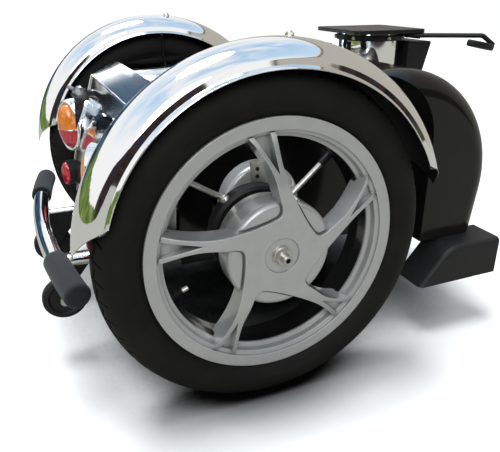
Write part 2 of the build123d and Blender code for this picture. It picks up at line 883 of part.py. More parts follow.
with BuildPart() as rear_deck:
    with BuildSketch(side):
        with BuildLine():
            back = Polyline(
                (deck_front, deck_high + deck_sheet),
                (deck_front, deck_high),
            )
            lower = Line(back @ 1, (deck_rear, deck_low - 1))
            end = Line(lower @ 1, (deck_rear, deck_low - 1 + deck_sheet))
            ThreePointArc(
                end @ 1, ((deck_rear + deck_front) / 2, deck_low + 9 + deck_sheet), back @ 0
            )
        make_face()
    extrude(amount=deck_half_width, both=True)
    for hand in (-1, 1):
        with BuildSketch(side.offset(hand * (deck_half_width - deck_sheet / 2))):
            Polygon(
                (deck_rear, deck_low),
                (deck_front, deck_high),
                (deck_front - 8, deck_high - deck_flange),
                (deck_rear, deck_low - deck_flange),
                align=None,
            )
        extrude(amount=deck_sheet / 2, both=True)
save(rear_deck.part, "rear_deck")

# ---- tail cover ---------------------------------------------------------------------------
tail_front_x = deck_rear - fit_gap
tail_top_front = 232.0
tail_edge = (-178.0, 203.0)
tail_face = ((-196.0, 150.0), (-222.0, 84.0), (-240.0, 20.0))
tail_foot = (-246.0, rail_top + tail_foot_gap - axle_z)


def tail_form(inset):
    """The tail's solid outline, drawn in by the thickness of its sheet."""
    with BuildPart() as form:
        with BuildSketch(side):
            with BuildLine():
                top = Polyline(
                    (tail_front_x + inset * 4, tail_foot[1] + inset),
                    (tail_front_x + inset * 4, tail_top_front - inset),
                    (tail_edge[0] + inset, tail_edge[1] - inset),
                )
                Spline(
                    top @ 1,
                    *[(x + inset, z) for x, z in tail_face],
                    (tail_foot[0] + inset, tail_foot[1] + inset),
                )
                Line((tail_foot[0] + inset, tail_foot[1] + inset), top @ 0)
            make_face()
        extrude(amount=tail_half_width, both=True)
        # seen from behind the sides draw in towards the foot
        with BuildSketch(rear.offset(-tail_front_x - 20)):
            top_half = tail_half_width - inset
            foot_half = tail_foot_half_width - inset
            Polygon(
                (-top_half, tail_top_front),
                (-top_half, lamp_middle),
                (-foot_half, tail_foot[1]),
                (foot_half, tail_foot[1]),
                (top_half, lamp_middle),
                (top_half, tail_top_front),
                align=None,
            )
        extrude(amount=200, mode=Mode.INTERSECT)
    return form.part


with BuildPart() as tail_cover:
    add(tail_form(0))
    add(tail_form(tail_sheet), mode=Mode.SUBTRACT)
save(tail_cover.part, "tail_cover")

# ---- lamps --------------------------------------------------------------------------------
lamp_base = 248.0  # the middle of the housings' open face, behind the axle
lamp_facing = Vector(-cos(radians(lamp_turn)), sin(radians(lamp_turn)), 0)


def oval_plane(height, base, out):
    """A plane that looks to the rear and inward, at a distance out of the right lamp's face."""
    face = Vector(axle_x - base, -lamp_spread, axle_z + height)
    return Plane(origin=face + lamp_facing * out, x_dir=(lamp_facing.Y, -lamp_facing.X, 0), z_dir=lamp_facing)


def dome(height, base, half_width, half_height, depth):
    """A rounded oval cap that bulges out of the lamp's face."""
    steps = (0.0, 0.45, 0.8, 1.0)
    with BuildPart() as cap:
        for step in steps:
            shrink = sqrt(1 - step**2) * 0.82 + 0.18
            with BuildSketch(oval_plane(height, base, depth * step)):
                Ellipse(half_width * shrink, half_height * shrink)
        loft()
    return cap.part


def oval_housing(height, base, half_width, half_height):
    """An oval block from the lamp's face to the tail, flush with the tail's side at its own foot."""
    half_tail = tail_half_width - (tail_half_width - tail_foot_half_width) * (
        (lamp_middle - height + half_height) / (lamp_middle - tail_foot[1])
    )
    with BuildPart() as block:
        with BuildSketch(oval_plane(height, base, 0)):
            Ellipse(half_width, half_height)
        extrude(amount=-110)
        with BuildSketch(Plane.XZ):
            with Locations((axle_x - base, axle_z + height)):
                Rectangle(300, 4 * half_height)
        extrude(amount=half_tail, mode=Mode.INTERSECT)
        add(tail_form(0), mode=Mode.SUBTRACT)
        # only the part behind the tail stays
        with BuildSketch(Plane.YZ.offset(axle_x + tail_edge[0])):
            with Locations((0, axle_z + height)):
                Rectangle(4 * lamp_spread, 4 * half_height)
        extrude(amount=200, mode=Mode.SUBTRACT)
        mirror(about=Plane.XZ)
    return block.part


save(oval_housing(lamp_middle, lamp_base, lamp_width / 2, lamp_height / 2), "lamp_housings")

lens_half_width = lamp_width / 2 - lens_rim
lens_half_height = lamp_height / 2 - lens_rim
for name, low, high in (
    ("amber_lenses", lens_split + fit_gap, lamp_middle + lamp_height),
    ("red_lenses", lamp_middle - lamp_height, lens_split - fit_gap),
):
    with BuildPart() as lens:
        add(dome(lamp_middle, lamp_base, lens_half_width, lens_half_height, lens_depth))
        with BuildSketch(rear.offset(lamp_base)):
            with Locations((lamp_spread, (low + high) / 2)):
                Rectangle(3 * lamp_width, high - low)
        extrude(amount=lamp_width, both=True, mode=Mode.INTERSECT)
        mirror(about=Plane.XZ)
    save(lens.part, name)

reflector_base = 266.0  # behind the axle
save(
    oval_housing(
        reflector_middle, reflector_base, reflector_width / 2 + 3, reflector_height / 2 + 3
    ),
    "reflector_brackets",
)

with BuildPart() as reflector:
    add(
        dome(
            reflector_middle,
            reflector_base,
            reflector_width / 2,
            reflector_height / 2,
            reflector_depth,
        )
    )
    mirror(about=Plane.XZ)
save(reflector.part, "reflectors")

# ---- bumper -------------------------------------------------------------------------------
bow_radius = (bumper_half_width**2 + bumper_bow**2) / (2 * bumper_bow)
bumper_level = axle_z + bumper_z


def bow_point(y):
    """A point of the bumper's bow, at a distance from the middle of the vehicle."""
    return Vector(axle_x + bumper_x + bow_radius - sqrt(bow_radius**2 - y**2), y, bumper_level)


def bow_tube(radius, start, end):
    """A round bar along the bow between two distances from the middle."""
    with BuildPart() as bar:
        with BuildLine() as path:
            ThreePointArc(bow_point(start), bow_point((start + end) / 2), bow_point(end))
        with BuildSketch(Plane(origin=path.line @ 0, z_dir=path.line % 0)):
            Circle(radius)
        sweep()
    return bar.part


with BuildPart() as bumper_tube:
    add(bow_tube(bumper_radius, -bumper_half_width, bumper_half_width))
    add(
        bow_tube(bumper_radius - bumper_wall, -bumper_half_width - 1, bumper_half_width + 1),
        mode=Mode.SUBTRACT,
    )
save(bumper_tube.part, "bumper_tube")

with BuildPart() as sleeves:
    add(bow_tube(sleeve_radius, -bumper_half_width - sleeve_cap, -sleeve_inner_end))
    fillet(sleeves.faces().sort_by(Axis.Y)[0].edges(), sleeve_cap)
    add(
        bow_tube(bumper_radius + fit_gap, -bumper_half_width - fit_gap, -sleeve_inner_end + 1),
        mode=Mode.SUBTRACT,
    )
    mirror(about=Plane.XZ)
save(sleeves.part, "bumper_sleeves")

arm_rear = bow_point(rail_spread).X - 12
collar = rail_bore - 2 * fit_gap

with BuildPart() as arms:
    with BuildSketch(Plane.YZ.offset(arm_rear)):
        with Locations((-rail_spread, 0)):
            Circle(arm_radius)
    extrude(amount=rail_rear + arm_collar_length - arm_rear)
    # the square collar in the end of the rail
    with BuildSketch(Plane.YZ.offset(rail_rear)):
        with Locations((-rail_spread, 0)):
            RectangleRounded(collar, collar, 3)
    extrude(amount=arm_collar_length)
    # the saddle under the bumper
    with BuildSketch(Plane.XZ.offset(rail_spread - arm_radius + 2)):
        with Locations((arm_rear + 14, bumper_level / 2)):
            Rectangle(26, bumper_level)
    extrude(amount=2 * arm_radius - 4)
    add(bow_tube(bumper_radius + fit_gap, -rail_spread - 30, -rail_spread + 30), mode=Mode.SUBTRACT)
    mirror(about=Plane.XZ)
save(arms.part, "bumper_arms")

# ---- anti-tip wheels ----------------------------------------------------------------------
bracket_face = rail_spread - arm_radius - fit_gap
antitip_inner = bracket_face + run_gap
antitip_centre = Vector(axle_x + antitip_x, 0, axle_z + antitip_z)
antitip_side = Plane(origin=antitip_centre, x_dir=(1, 0, 0), z_dir=(0, -1, 0))
antitip_section = Plane(origin=antitip_centre, x_dir=(0, -1, 0), z_dir=(-1, 0, 0))
antitip_axis = Axis(antitip_centre, (0, 1, 0))

with BuildPart() as antitip_brackets:
    with BuildSketch(antitip_side.offset(bracket_face - antitip_plate)):
        with BuildLine():
            Polyline(
                (-12, 0),
                (-12, 8),
                (-6, -antitip_centre.Z - 8),
                (2, -antitip_centre.Z + 8),
                (62, -antitip_centre.Z + 8),
                (62, -antitip_centre.Z - 8),
                (12, 4),
                (12, 0),
            )
            ThreePointArc((12, 0), (0, -12), (-12, 0))
        make_face()
        Circle(antitip_bolt_radius + fit_gap, mode=Mode.SUBTRACT)
    extrude(amount=antitip_plate)
    mirror(about=Plane.XZ)
save(antitip_brackets.part, "antitip_brackets")

bolt_head = 7.0
with BuildPart() as antitip_bolts:
    with BuildSketch(antitip_side.offset(bracket_face - antitip_plate - fit_gap)):
        Circle(antitip_bolt_radius)
    extrude(amount=antitip_width + run_gap + antitip_plate + 3 * fit_gap)
    with BuildSketch(antitip_side.offset(antitip_inner + antitip_width + fit_gap)):
        Circle(antitip_bolt_radius * 2)
    extrude(amount=bolt_head)
    with BuildSketch(antitip_side.offset(bracket_face - antitip_plate - fit_gap)):
        RegularPolygon(antitip_bolt_radius * 1.7, 6, major_radius=False)
    extrude(amount=-bolt_head)
    mirror(about=Plane.XZ)
save(antitip_bolts.part, "antitip_bolts")

with BuildPart() as antitip_right:
    with BuildSketch(antitip_section):
        inner_u = antitip_inner
        outer_u = antitip_inner + antitip_width
        Polygon(
            (inner_u, antitip_bolt_radius + fit_gap),
            (inner_u, 13),
            (inner_u + 5, 16),
            (inner_u + 5, antitip_radius - 14),
            (inner_u + 1, antitip_radius - 10),
            (inner_u + 3, antitip_radius - 2),
            (inner_u + 7, antitip_radius),
            (outer_u - 7, antitip_radius),
            (outer_u - 3, antitip_radius - 2),
            (outer_u - 1, antitip_radius - 10),
            (outer_u - 5, antitip_radius - 14),
            (outer_u - 5, 16),
            (outer_u, 13),
            (outer_u, antitip_bolt_radius + fit_gap),
            align=None,
        )
    revolve(axis=antitip_axis)
save(antitip_right.part, "antitip_wheel_right")
save(other_side(antitip_right.part), "antitip_wheel_left")

# ---- seat support -------------------------------------------------------------------------
seat_axis_x = axle_x + seat_x
plate_low = axle_z + seat_plate_height
drum_low = axle_z + shell_height(nose_middle[0]) + fit_gap

with BuildPart() as seat_post:
    with BuildSketch(Plane.XY.offset(rail_top)):
        with Locations((seat_axis_x, 0)):
            Circle(seat_post_radius)
    extrude(amount=drum_low - rail_top)
    # the drum's foot follows the body's top
    with BuildSketch(Plane.XY.offset(axle_z)):
        with Locations((seat_axis_x, 0)):
            Circle(seat_drum_radius)
            Circle(seat_post_radius + fit_gap, mode=Mode.SUBTRACT)
    extrude(amount=drum_low - axle_z)
    add(shell_form(-fit_gap, shell_floor), mode=Mode.SUBTRACT)
    with BuildSketch(Plane.XY.offset(rail_top)):
        with Locations((seat_axis_x, 0)):
            Circle(seat_post_radius)
    extrude(amount=drum_low - rail_top)
    with BuildSketch(Plane.XY.offset(drum_low)):
        with Locations((seat_axis_x, 0)):
            Circle(seat_drum_radius)
    extrude(amount=plate_low - fit_gap - drum_low)
    with BuildSketch(Plane.XY.offset(plate_low - fit_gap)):
        with Locations((seat_axis_x, 0)):
            Circle(spigot_radius + fit_gap)
    extrude(amount=-34, mode=Mode.SUBTRACT)
save(seat_post.part, "seat_post")

with BuildPart() as seat_pin:
    # the stop pin behind the drum
    with BuildSketch(Plane.XY.offset(axle_z)):
        with Locations((seat_axis_x + seat_pin_x, 0)):
            Circle(seat_pin_radius)
    extrude(amount=seat_pin_top)
    fillet(seat_pin.faces().sort_by(Axis.Z)[-1].edges(), 2)
    add(shell_form(-fit_gap, shell_floor), mode=Mode.SUBTRACT)
save(seat_pin.part, "seat_pin")

with BuildPart() as seat_block:
    # a tapered block in front of the drum
    with BuildSketch(side.offset(-block_half_width)):
        Polygon(
            (seat_x + block_start, 0),
            (seat_x + block_start, block_top),
            (seat_x + block_end, block_top),
            (seat_x + block_end - 17, block_top - 64),
            (seat_x + block_end - 17, 0),
            align=None,
        )
    extrude(amount=2 * block_half_width)
    fillet(seat_block.edges().filter_by(Axis.Y).group_by(Axis.Z)[-1], 4)
    with BuildSketch(Plane.XY.offset(axle_z)):
        with Locations((seat_axis_x, 0)):
            Circle(seat_drum_radius + fit_gap)
    extrude(amount=seat_plate_height, mode=Mode.SUBTRACT)
    add(shell_form(-fit_gap, shell_floor), mode=Mode.SUBTRACT)
save(seat_block.part, "seat_block")

with BuildPart() as seat_plate:
    with BuildSketch(Plane.XY.offset(plate_low)):
        with Locations((seat_axis_x, 0)):
            RectangleRounded(*seat_plate_size, 14)
            with GridLocations(seat_bolt_x, seat_bolt_y, 2, 2):
                Circle(seat_hole_radius, mode=Mode.SUBTRACT)
    extrude(amount=seat_plate_thickness)
    with BuildSketch(Plane.XY.offset(plate_low)):
        with Locations((seat_axis_x, 0)):
            Circle(spigot_radius)
        with Locations((seat_axis_x + seat_plate_size[0] / 2 - seat_lip[0] / 2, 0)):
            Rectangle(seat_lip[0], seat_plate_size[1] - 40)
    extrude(amount=-seat_lip[1])
    with BuildSketch(Plane.XY.offset(plate_low - seat_lip[1])):
        with Locations((seat_axis_x, 0)):
            Circle(spigot_radius)
    extrude(amount=-16)
save(seat_plate.part, "seat_plate")

lever_z = plate_low - lever_radius - fit_gap
knob_middle = Vector(seat_axis_x + lever_reach - knob_length / 2, lever_y, lever_z - knob_drop)

with BuildPart() as seat_lever:
    # a flat oval knob that points back, on a bent rod from under the plate's corner
    with BuildSketch(Plane(knob_middle).rotated((0, knob_tilt, 0))):
        Ellipse(knob_length / 2, knob_width / 2)
    extrude(amount=knob_thickness / 2, both=True)
    fillet(seat_lever.edges().filter_by(GeomType.ELLIPSE), 4)
    with BuildLine() as path:
        FilletPolyline(
            (seat_axis_x + 50, lever_y + 70, lever_z),
            (seat_axis_x + lever_reach - 36, lever_y, lever_z),
            (seat_axis_x + lever_reach - 2, lever_y, lever_z - knob_drop),
            radius=16,
        )
    with BuildSketch(Plane(origin=path.line @ 0, z_dir=path.line % 0)):
        Circle(lever_radius)
    sweep()
save(seat_lever.part, "seat_lever")
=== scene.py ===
import bpy, bmesh, json
from math import asin, atan2, cos, degrees, pi, radians, sin, sqrt
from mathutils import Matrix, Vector


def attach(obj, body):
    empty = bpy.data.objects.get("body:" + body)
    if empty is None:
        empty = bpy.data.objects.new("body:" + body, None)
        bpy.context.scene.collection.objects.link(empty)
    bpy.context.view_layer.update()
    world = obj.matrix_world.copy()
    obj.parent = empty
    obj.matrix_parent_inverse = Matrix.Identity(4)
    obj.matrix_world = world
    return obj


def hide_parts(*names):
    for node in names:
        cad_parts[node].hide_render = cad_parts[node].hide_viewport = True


# Rear drive section of a three-wheel electric scooter. Metres; X to the front, Y to the left, Z up.
# The origin is the middle of the front flange's bolting face.

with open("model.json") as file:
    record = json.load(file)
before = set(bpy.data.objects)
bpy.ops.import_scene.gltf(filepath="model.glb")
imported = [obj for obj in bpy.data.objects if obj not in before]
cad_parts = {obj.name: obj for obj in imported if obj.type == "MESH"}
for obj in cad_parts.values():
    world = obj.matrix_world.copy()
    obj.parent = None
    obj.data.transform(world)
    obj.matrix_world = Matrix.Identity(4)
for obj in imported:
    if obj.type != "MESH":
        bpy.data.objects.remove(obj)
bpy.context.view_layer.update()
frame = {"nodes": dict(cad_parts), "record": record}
nodes = frame["nodes"]
print("frame loaded:", len(nodes), "nodes")

axleX, axleZ = -0.520, 0.084
halfTrack = 0.3628  # from the middle of the vehicle to the middle of a road wheel
tyreRadius = 0.288
groundZ = axleZ - tyreRadius
sides = {"right": -1, "left": 1}


# small tools for shapes

def addPiece(mesh, surface, body, angle=35, replaces=()):
    # a piece named as its mesh, shaded smooth up to an angle between its faces
    piece = bpy.data.objects.new(mesh.name, mesh)
    bpy.context.scene.collection.objects.link(piece)
    mesh.materials.append(surface)
    mesh.polygons.foreach_set("use_smooth", [True] * len(mesh.polygons))
    mesh.set_sharp_from_angle(angle=radians(angle))
    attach(piece, body)
    if replaces:
        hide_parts(*replaces)
    return piece


def joinedMesh(name, parts):
    # parts are (points, faces) pairs in one frame
    points, faces = [], []
    for somePoints, someFaces in parts:
        base = len(points)
        points += [tuple(p) for p in somePoints]
        faces += [tuple(base + i for i in face) for face in someFaces]
    mesh = bpy.data.meshes.new(name)
    mesh.from_pydata(points, [], faces)
    work = bmesh.new()
    work.from_mesh(mesh)
    bmesh.ops.recalc_face_normals(work, faces=work.faces)
    work.to_mesh(mesh)
    work.free()
    return mesh


def gridFaces(rows, columns, rowsClosed=False, columnsClosed=False):
    faces = []
    for r in range(rows if rowsClosed else rows - 1):
        for c in range(columns if columnsClosed else columns - 1):
            down, across = (r + 1) % rows, (c + 1) % columns
            faces.append((r * columns + c, r * columns + across,
                          down * columns + across, down * columns + c))
    return faces


def tubeFaces(rows, columns, startClosed=True):
    # faces of a row of rings, with a lid on the last ring and mostly one on the first
    last = (rows - 1) * columns
    faces = gridFaces(rows, columns, columnsClosed=True)
    if startClosed:
        faces.append(tuple(range(columns)))
    return faces + [tuple(last + i for i in range(columns))]


def turned(profile, place, axis, steps=40):
    # a solid of revolution: profile is (distance along the axis, radius), closed at both ends
    axis = Vector(axis).normalized()
    first = axis.orthogonal().normalized()
    second = axis.cross(first)
    points = []
    for along, radius in profile:
        for i in range(steps):
            turn = 2 * pi * i / steps
            points.append(Vector(place) + axis * along + (first * cos(turn) + second * sin(turn)) * radius)
    return points, tubeFaces(len(profile), steps)


hexCorner = 1 / sqrt(3)  # from the middle of a hexagon to its corner, by its width over the flats
nutShape = {  # places along a nut by its height, and radii by its width over the flats
    "head": ((0, hexCorner), (0.78, hexCorner), (1, hexCorner * 0.84)),
    "flange": ((0, 0.62), (0.12, 0.62), (0.16, 0.55)), "lift": 0.14,
    "skirt": ((0, hexCorner), (0.42, hexCorner), (0.48, 0.48)),
    "cap": (0.40, 0.46, 0.46), "capTurns": (0, 0.4, 0.8, 1.2, 1.5),  # foot, rise and radius of the dome
}


def nutPart(profile, place, axis, flats, height, steps):
    return turned([(along * height, radius * flats) for along, radius in profile], place, axis, steps)


def hexHead(place, axis, flats, height):
    # a hexagon head with its chamfered top, standing on place and looking along axis
    return nutPart(nutShape["head"], place, axis, flats, height, 6)


def domeNut(place, axis, flats, height):
    # a flange, a hexagon and a domed cap
    lift = Vector(place) + Vector(axis).normalized() * height * nutShape["lift"]
    foot, rise, radius = nutShape["cap"]
    cap = [(foot + rise * sin(turn), radius * cos(turn)) for turn in nutShape["capTurns"]]
    return [nutPart(nutShape["flange"], place, axis, flats, height, 24),
            nutPart(nutShape["skirt"], lift, axis, flats, height, 6),
            nutPart(cap, lift, axis, flats, height, 20)]


def rodAlong(points, radius, steps=16, flat=1.0, up=(0, 0, 1)):
    # a bar through the points, round or flattened, with closed ends
    points = [Vector(p) for p in points]
    rings = []
    for i, point in enumerate(points):
        ahead = points[min(i + 1, len(points) - 1)] - points[max(i - 1, 0)]
        ahead.normalize()
        wide = ahead.cross(Vector(up)).normalized()
        high = wide.cross(ahead)
        for k in range(steps):
            turn = 2 * pi * (k + 0.5) / steps
            rings.append(point + wide * cos(turn) * radius + high * sin(turn) * radius * flat)
    return rings, tubeFaces(len(points), steps)


def slab(outline, near, far):
    # a flat plate standing along the vehicle, its outline given as places (x, z) from the axle
    points = [fromAxle(x, near, z) for x, z in outline] + [fromAxle(x, far, z) for x, z in outline]
    return points, tubeFaces(2, len(outline))


def mirrored(row):
    # the other half of a row of places (across, height)
    return [(-u, r) for u, r in reversed(row)]


def arcThrough(first, middle, last, count):
    # points on the circle through three points of a plane
    (ax, ay), (bx, by), (cx, cy) = first, middle, last
    d = 2 * (ax * (by - cy) + bx * (cy - ay) + cx * (ay - by))
    sa, sb, sc = ax * ax + ay * ay, bx * bx + by * by, cx * cx + cy * cy
    ox = (sa * (by - cy) + sb * (cy - ay) + sc * (ay - by)) / d
    oy = (sa * (cx - bx) + sb * (ax - cx) + sc * (bx - ax)) / d
    radius = sqrt((ax - ox) ** 2 + (ay - oy) ** 2)
    start, half, end = (atan2(y - oy, x - ox) for x, y in (first, middle, last))
    half = nearTurn(half, start)
    end = nearTurn(end, half)
    turns = [start + (end - start) * i / (count - 1) for i in range(count)]
    return [(ox + radius * cos(t), oy + radius * sin(t)) for t in turns]


def nearTurn(turn, other):
    # the same direction, less than half a turn from the other
    while turn - other > pi:
        turn -= 2 * pi
    while turn - other < -pi:
        turn += 2 * pi
    return turn


def fromAxle(x, y, z):
    # a place given from the middle of the rear axle
    return Vector((axleX + x, y, axleZ + z))


def outward(angle):
    # direction at an angle from the front over the top, in a wheel's plane
    return Vector((cos(radians(angle)), 0, sin(radians(angle))))


# small tools for surfaces

def node(tree, kind, inputs=None, **settings):
    # an input given as another node's output is joined to it, any other is its value
    made = tree.nodes.new("ShaderNode" + kind)
    for name, value in settings.items():
        setattr(made, name, value)
    for name, value in (inputs or {}).items():
        if isinstance(value, bpy.types.NodeSocket):
            tree.links.new(value, made.inputs[name])
        else:
            made.inputs[name].default_value = value
    return made


def noise(tree, place, scale, detail, rough=0.5, distortion=0.0):
    return node(tree, "TexNoise", {"Vector": place, "Scale": scale, "Detail": detail, "Roughness": rough,
                                   "Distortion": distortion}).outputs["Fac"]


def ramp(tree, factor, stops):
    made = node(tree, "ValToRGB", {"Fac": factor})
    elements = made.color_ramp.elements
    while len(elements) < len(stops):
        elements.new(0.5)
    for element, (place, colour) in zip(elements, stops):
        element.position = place
        element.color = (*colour, 1)
    return made.outputs["Color"]


def fade(tree, factor, span, first, second):
    # from one colour to another over a span of the factor
    return ramp(tree, factor, [(span[0], first), (span[1], second)])


def ranged(tree, value, fromMin, fromMax, toMin=0.0, toMax=1.0, **settings):
    ends = {"From Min": fromMin, "From Max": fromMax, "To Min": toMin, "To Max": toMax}
    return node(tree, "MapRange", {"Value": value, **ends}, **settings).outputs["Result"]


def mixed(tree, share, under, over, **settings):
    return node(tree, "MixRGB", {"Fac": share, "Color1": under, "Color2": over}, **settings).outputs["Color"]


def mathNode(tree, operation, first, second):
    return node(tree, "Math", {0: first, 1: second}, operation=operation).outputs[0]


def grey(value):
    return (value, value, value)


def solid(colour):
    return (*colour, 1)


# finishes

# beside real tone and dust, the painted highlight on edges and the painted shade in corners are set here
wearAndPaintedLight = {
    "paintedEdgeHighlight": (0.78, 0.79, 0.80), "paintedCornerShade": (0.10, 0.105, 0.105), "paintedShadeReach": 0.016, "patches": 9.0,
    # where each layer of a finish starts and where it is full, or the other way round
    "toneSpan": (0.3, 0.7), "dustSpan": (0.42, 0.75), "paintedEdgeHighlightSpan": (0.78, 0.97), "paintedShadeSpan": (0.30, 0.80),
    "reliefDepth": 0.0006,
}


def finish(name, colour, rough, metal=0.0, grain=60.0, tone=0.12, roughSpread=0.06, bump=0.0,
           bumpScale=400.0, coat=0.0, coatRough=0.05, specular=0.5, sheen=0.0, dust=0.0,
           dustColour=(0.2, 0.19, 0.17), edge=0.0, edgeHighlight=0.0, paintedCornerShade=0.0):
    # one surface: a colour that drifts a little, a roughness that drifts with it, a fine relief, dust
    # in broad patches, softened edges with a painted highlight along them, and painted shade in the inner
    # corners
    made = bpy.data.materials.new(name)
    made.use_nodes = True
    tree = made.node_tree
    shader = tree.nodes["Principled BSDF"]
    place = node(tree, "TexCoord").outputs["Object"]
    cloud = noise(tree, place, grain, 5.0, 0.6)
    low = tuple(c * (1 - tone) for c in colour)
    high = tuple(min(1.0, c * (1 + tone)) for c in colour)
    top = fade(tree, cloud, wearAndPaintedLight["toneSpan"], low, high)
    if dust:
        film = noise(tree, place, wearAndPaintedLight["patches"], 8.0, 0.7)
        patches = fade(tree, film, wearAndPaintedLight["dustSpan"], grey(0), grey(dust))
        top = mixed(tree, patches, top, solid(dustColour))
    normal = None
    if edge:
        normal = node(tree, "Bevel", {"Radius": edge}, samples=4).outputs["Normal"]
    # painted highlight: the base colour is lightened along the softened edges, standing in for the light that
    # edges catch
    if edgeHighlight:
        # how far the softened normal leaves the true one tells where an edge is
        true = node(tree, "NewGeometry").outputs["Normal"]
        near = node(tree, "VectorMath", {0: normal, 1: true}, operation="DOT_PRODUCT").outputs["Value"]
        paintedEdgeHighlight = fade(tree, near, wearAndPaintedLight["paintedEdgeHighlightSpan"], grey(edgeHighlight), grey(0))
        top = mixed(tree, paintedEdgeHighlight, top, solid(wearAndPaintedLight["paintedEdgeHighlight"]))
    # painted shade: the base colour is darkened where ambient occlusion finds close surfaces in corners and
    # recesses
    if paintedCornerShade:
        hollow = node(tree, "AmbientOcclusion", {"Distance": wearAndPaintedLight["paintedShadeReach"]}, samples=12, only_local=True)
        corners = fade(tree, hollow.outputs["AO"], wearAndPaintedLight["paintedShadeSpan"], grey(paintedCornerShade), grey(0))
        top = mixed(tree, corners, top, solid(wearAndPaintedLight["paintedCornerShade"]))
    tree.links.new(top, shader.inputs["Base Color"])
    drift = ranged(tree, cloud, 0.0, 1.0, max(0.0, rough - roughSpread), rough + roughSpread)
    tree.links.new(drift, shader.inputs["Roughness"])
    if bump:
        pits = noise(tree, place, bumpScale, 3.0)
        relief = node(tree, "Bump", {"Height": pits, "Strength": bump, "Distance": wearAndPaintedLight["reliefDepth"]})
        if normal is not None:
            tree.links.new(normal, relief.inputs["Normal"])
        normal = relief.outputs["Normal"]
    if normal is not None:
        tree.links.new(normal, shader.inputs["Normal"])
    shader.inputs["Metallic"].default_value = metal
    shader.inputs["Specular IOR Level"].default_value = specular
    shader.inputs["Coat Weight"].default_value = coat
    shader.inputs["Coat Roughness"].default_value = coatRough
    shader.inputs["Sheen Weight"].default_value = sheen
    return made


# the cast wheel carries a painted highlight along its edges and painted shade in its corners and pockets
castSilver = finish("castSilver", (0.455, 0.46, 0.465), 0.30, metal=0.28, grain=45, tone=0.05,
                    roughSpread=0.05, bump=0.10, bumpScale=1100, coat=1.0, coatRough=0.10, edge=0.0030,
                    edgeHighlight=0.8, paintedCornerShade=0.7)
tyreRubber = finish("tyreRubber", (0.0090, 0.0090, 0.0086), 0.66, grain=25, tone=0.25, roughSpread=0.10,
                    bump=0.30, bumpScale=1400, specular=0.14, dust=0.14, dustColour=(0.030, 0.028, 0.025))
chrome = finish("chrome", (0.88, 0.885, 0.89), 0.045, metal=1.0, grain=6, tone=0.02, roughSpread=0.02,
                bump=0.02, bumpScale=14, edge=0.0008)
satinChrome = finish("satinChrome", (0.78, 0.79, 0.79), 0.13, metal=1.0, grain=6, tone=0.03,
                     roughSpread=0.02, edge=0.0008)
zincSteel = finish("zincSteel", (0.55, 0.54, 0.51), 0.32, metal=0.9, grain=120, tone=0.15,
                   roughSpread=0.1, bump=0.1, bumpScale=700, edge=0.0006)
brassNut = finish("brassNut", (0.52, 0.36, 0.13), 0.35, metal=0.9, grain=150, tone=0.15,
                  roughSpread=0.08, bump=0.1, bumpScale=900, edge=0.0004)
blackFrame = finish("blackFrame", (0.009, 0.009, 0.0095), 0.40, grain=70, tone=0.3, roughSpread=0.08,
                    bump=0.25, bumpScale=500, specular=0.3, dust=0.10, dustColour=(0.04, 0.037, 0.033),
                    edge=0.001)
matteBlack = finish("matteBlack", (0.012, 0.0125, 0.013), 0.50, grain=90, tone=0.25, roughSpread=0.08,
                    bump=0.35, bumpScale=900, specular=0.28, edge=0.001)
bodyBlack = finish("bodyBlack", (0.0085, 0.008, 0.0078), 0.18, grain=12, tone=0.15, roughSpread=0.04,
                   bump=0.03, bumpScale=60, specular=0.22, coat=0.14, coatRough=0.06, edge=0.002)
hoodBlack = finish("hoodBlack", (0.010, 0.013, 0.020), 0.14, grain=30, tone=0.2, roughSpread=0.04,
                   bump=0.05, bumpScale=120, coat=0.6, coatRough=0.05)
guardUnder = finish("guardUnder", (0.010, 0.010, 0.011), 0.55, grain=40, tone=0.3, roughSpread=0.1,
                    bump=0.3, bumpScale=500, dust=0.2, dustColour=(0.03, 0.03, 0.028))
foamBlack = finish("foamBlack", (0.017, 0.020, 0.025), 0.80, grain=140, tone=0.25, roughSpread=0.06,
                   bump=0.6, bumpScale=1300, specular=0.3, sheen=0.10, edge=0.002)
amberLens = finish("amberLens", (0.80, 0.22, 0.015), 0.10, grain=60, tone=0.18, roughSpread=0.03,
                   bump=0.12, bumpScale=220, coat=1.0)
redLens = finish("redLens", (0.50, 0.015, 0.035), 0.10, grain=60, tone=0.2, roughSpread=0.03,
                 bump=0.12, bumpScale=220, coat=1.0)

# where the painted shade deep in the wheel's barrel starts and how black it is
barrel = {"edge": 0.0130, "reach": 0.1785,  # how far from the wheel's middle plane, and from its centre
          "fade": 0.002, "black": (0.010, 0.010, 0.011)}


def barrelPaintedShade(name, hand):
    # painted shade: the wheel's silver turns black inside the rim's outer steps, deep in the barrel where the
    # wheel's inside lies in shade
    made = castSilver.copy()
    made.name = name
    tree = made.node_tree
    shader = tree.nodes["Principled BSDF"]
    silver = shader.inputs["Base Color"].links[0].from_socket
    place = node(tree, "TexCoord").outputs["Object"]
    middle = (axleX, hand * halfTrack, axleZ)
    centred = node(tree, "VectorMath", {0: place, 1: middle}, operation="SUBTRACT").outputs["Vector"]
    flat = node(tree, "VectorMath", {0: centred, 1: (1.0, 0.0, 1.0)}, operation="MULTIPLY")
    reach = node(tree, "VectorMath", {0: flat.outputs["Vector"]}, operation="LENGTH").outputs["Value"]
    across = node(tree, "SeparateXYZ", {0: centred}).outputs["Y"]
    depth = ranged(tree, across, hand * barrel["edge"], hand * (barrel["edge"] - barrel["fade"]))
    wide = ranged(tree, reach, barrel["reach"] - barrel["fade"], barrel["reach"])
    inside = mathNode(tree, "MULTIPLY", depth, wide)
    tree.links.new(mixed(tree, inside, silver, solid(barrel["black"])), shader.inputs["Base Color"])
    return made


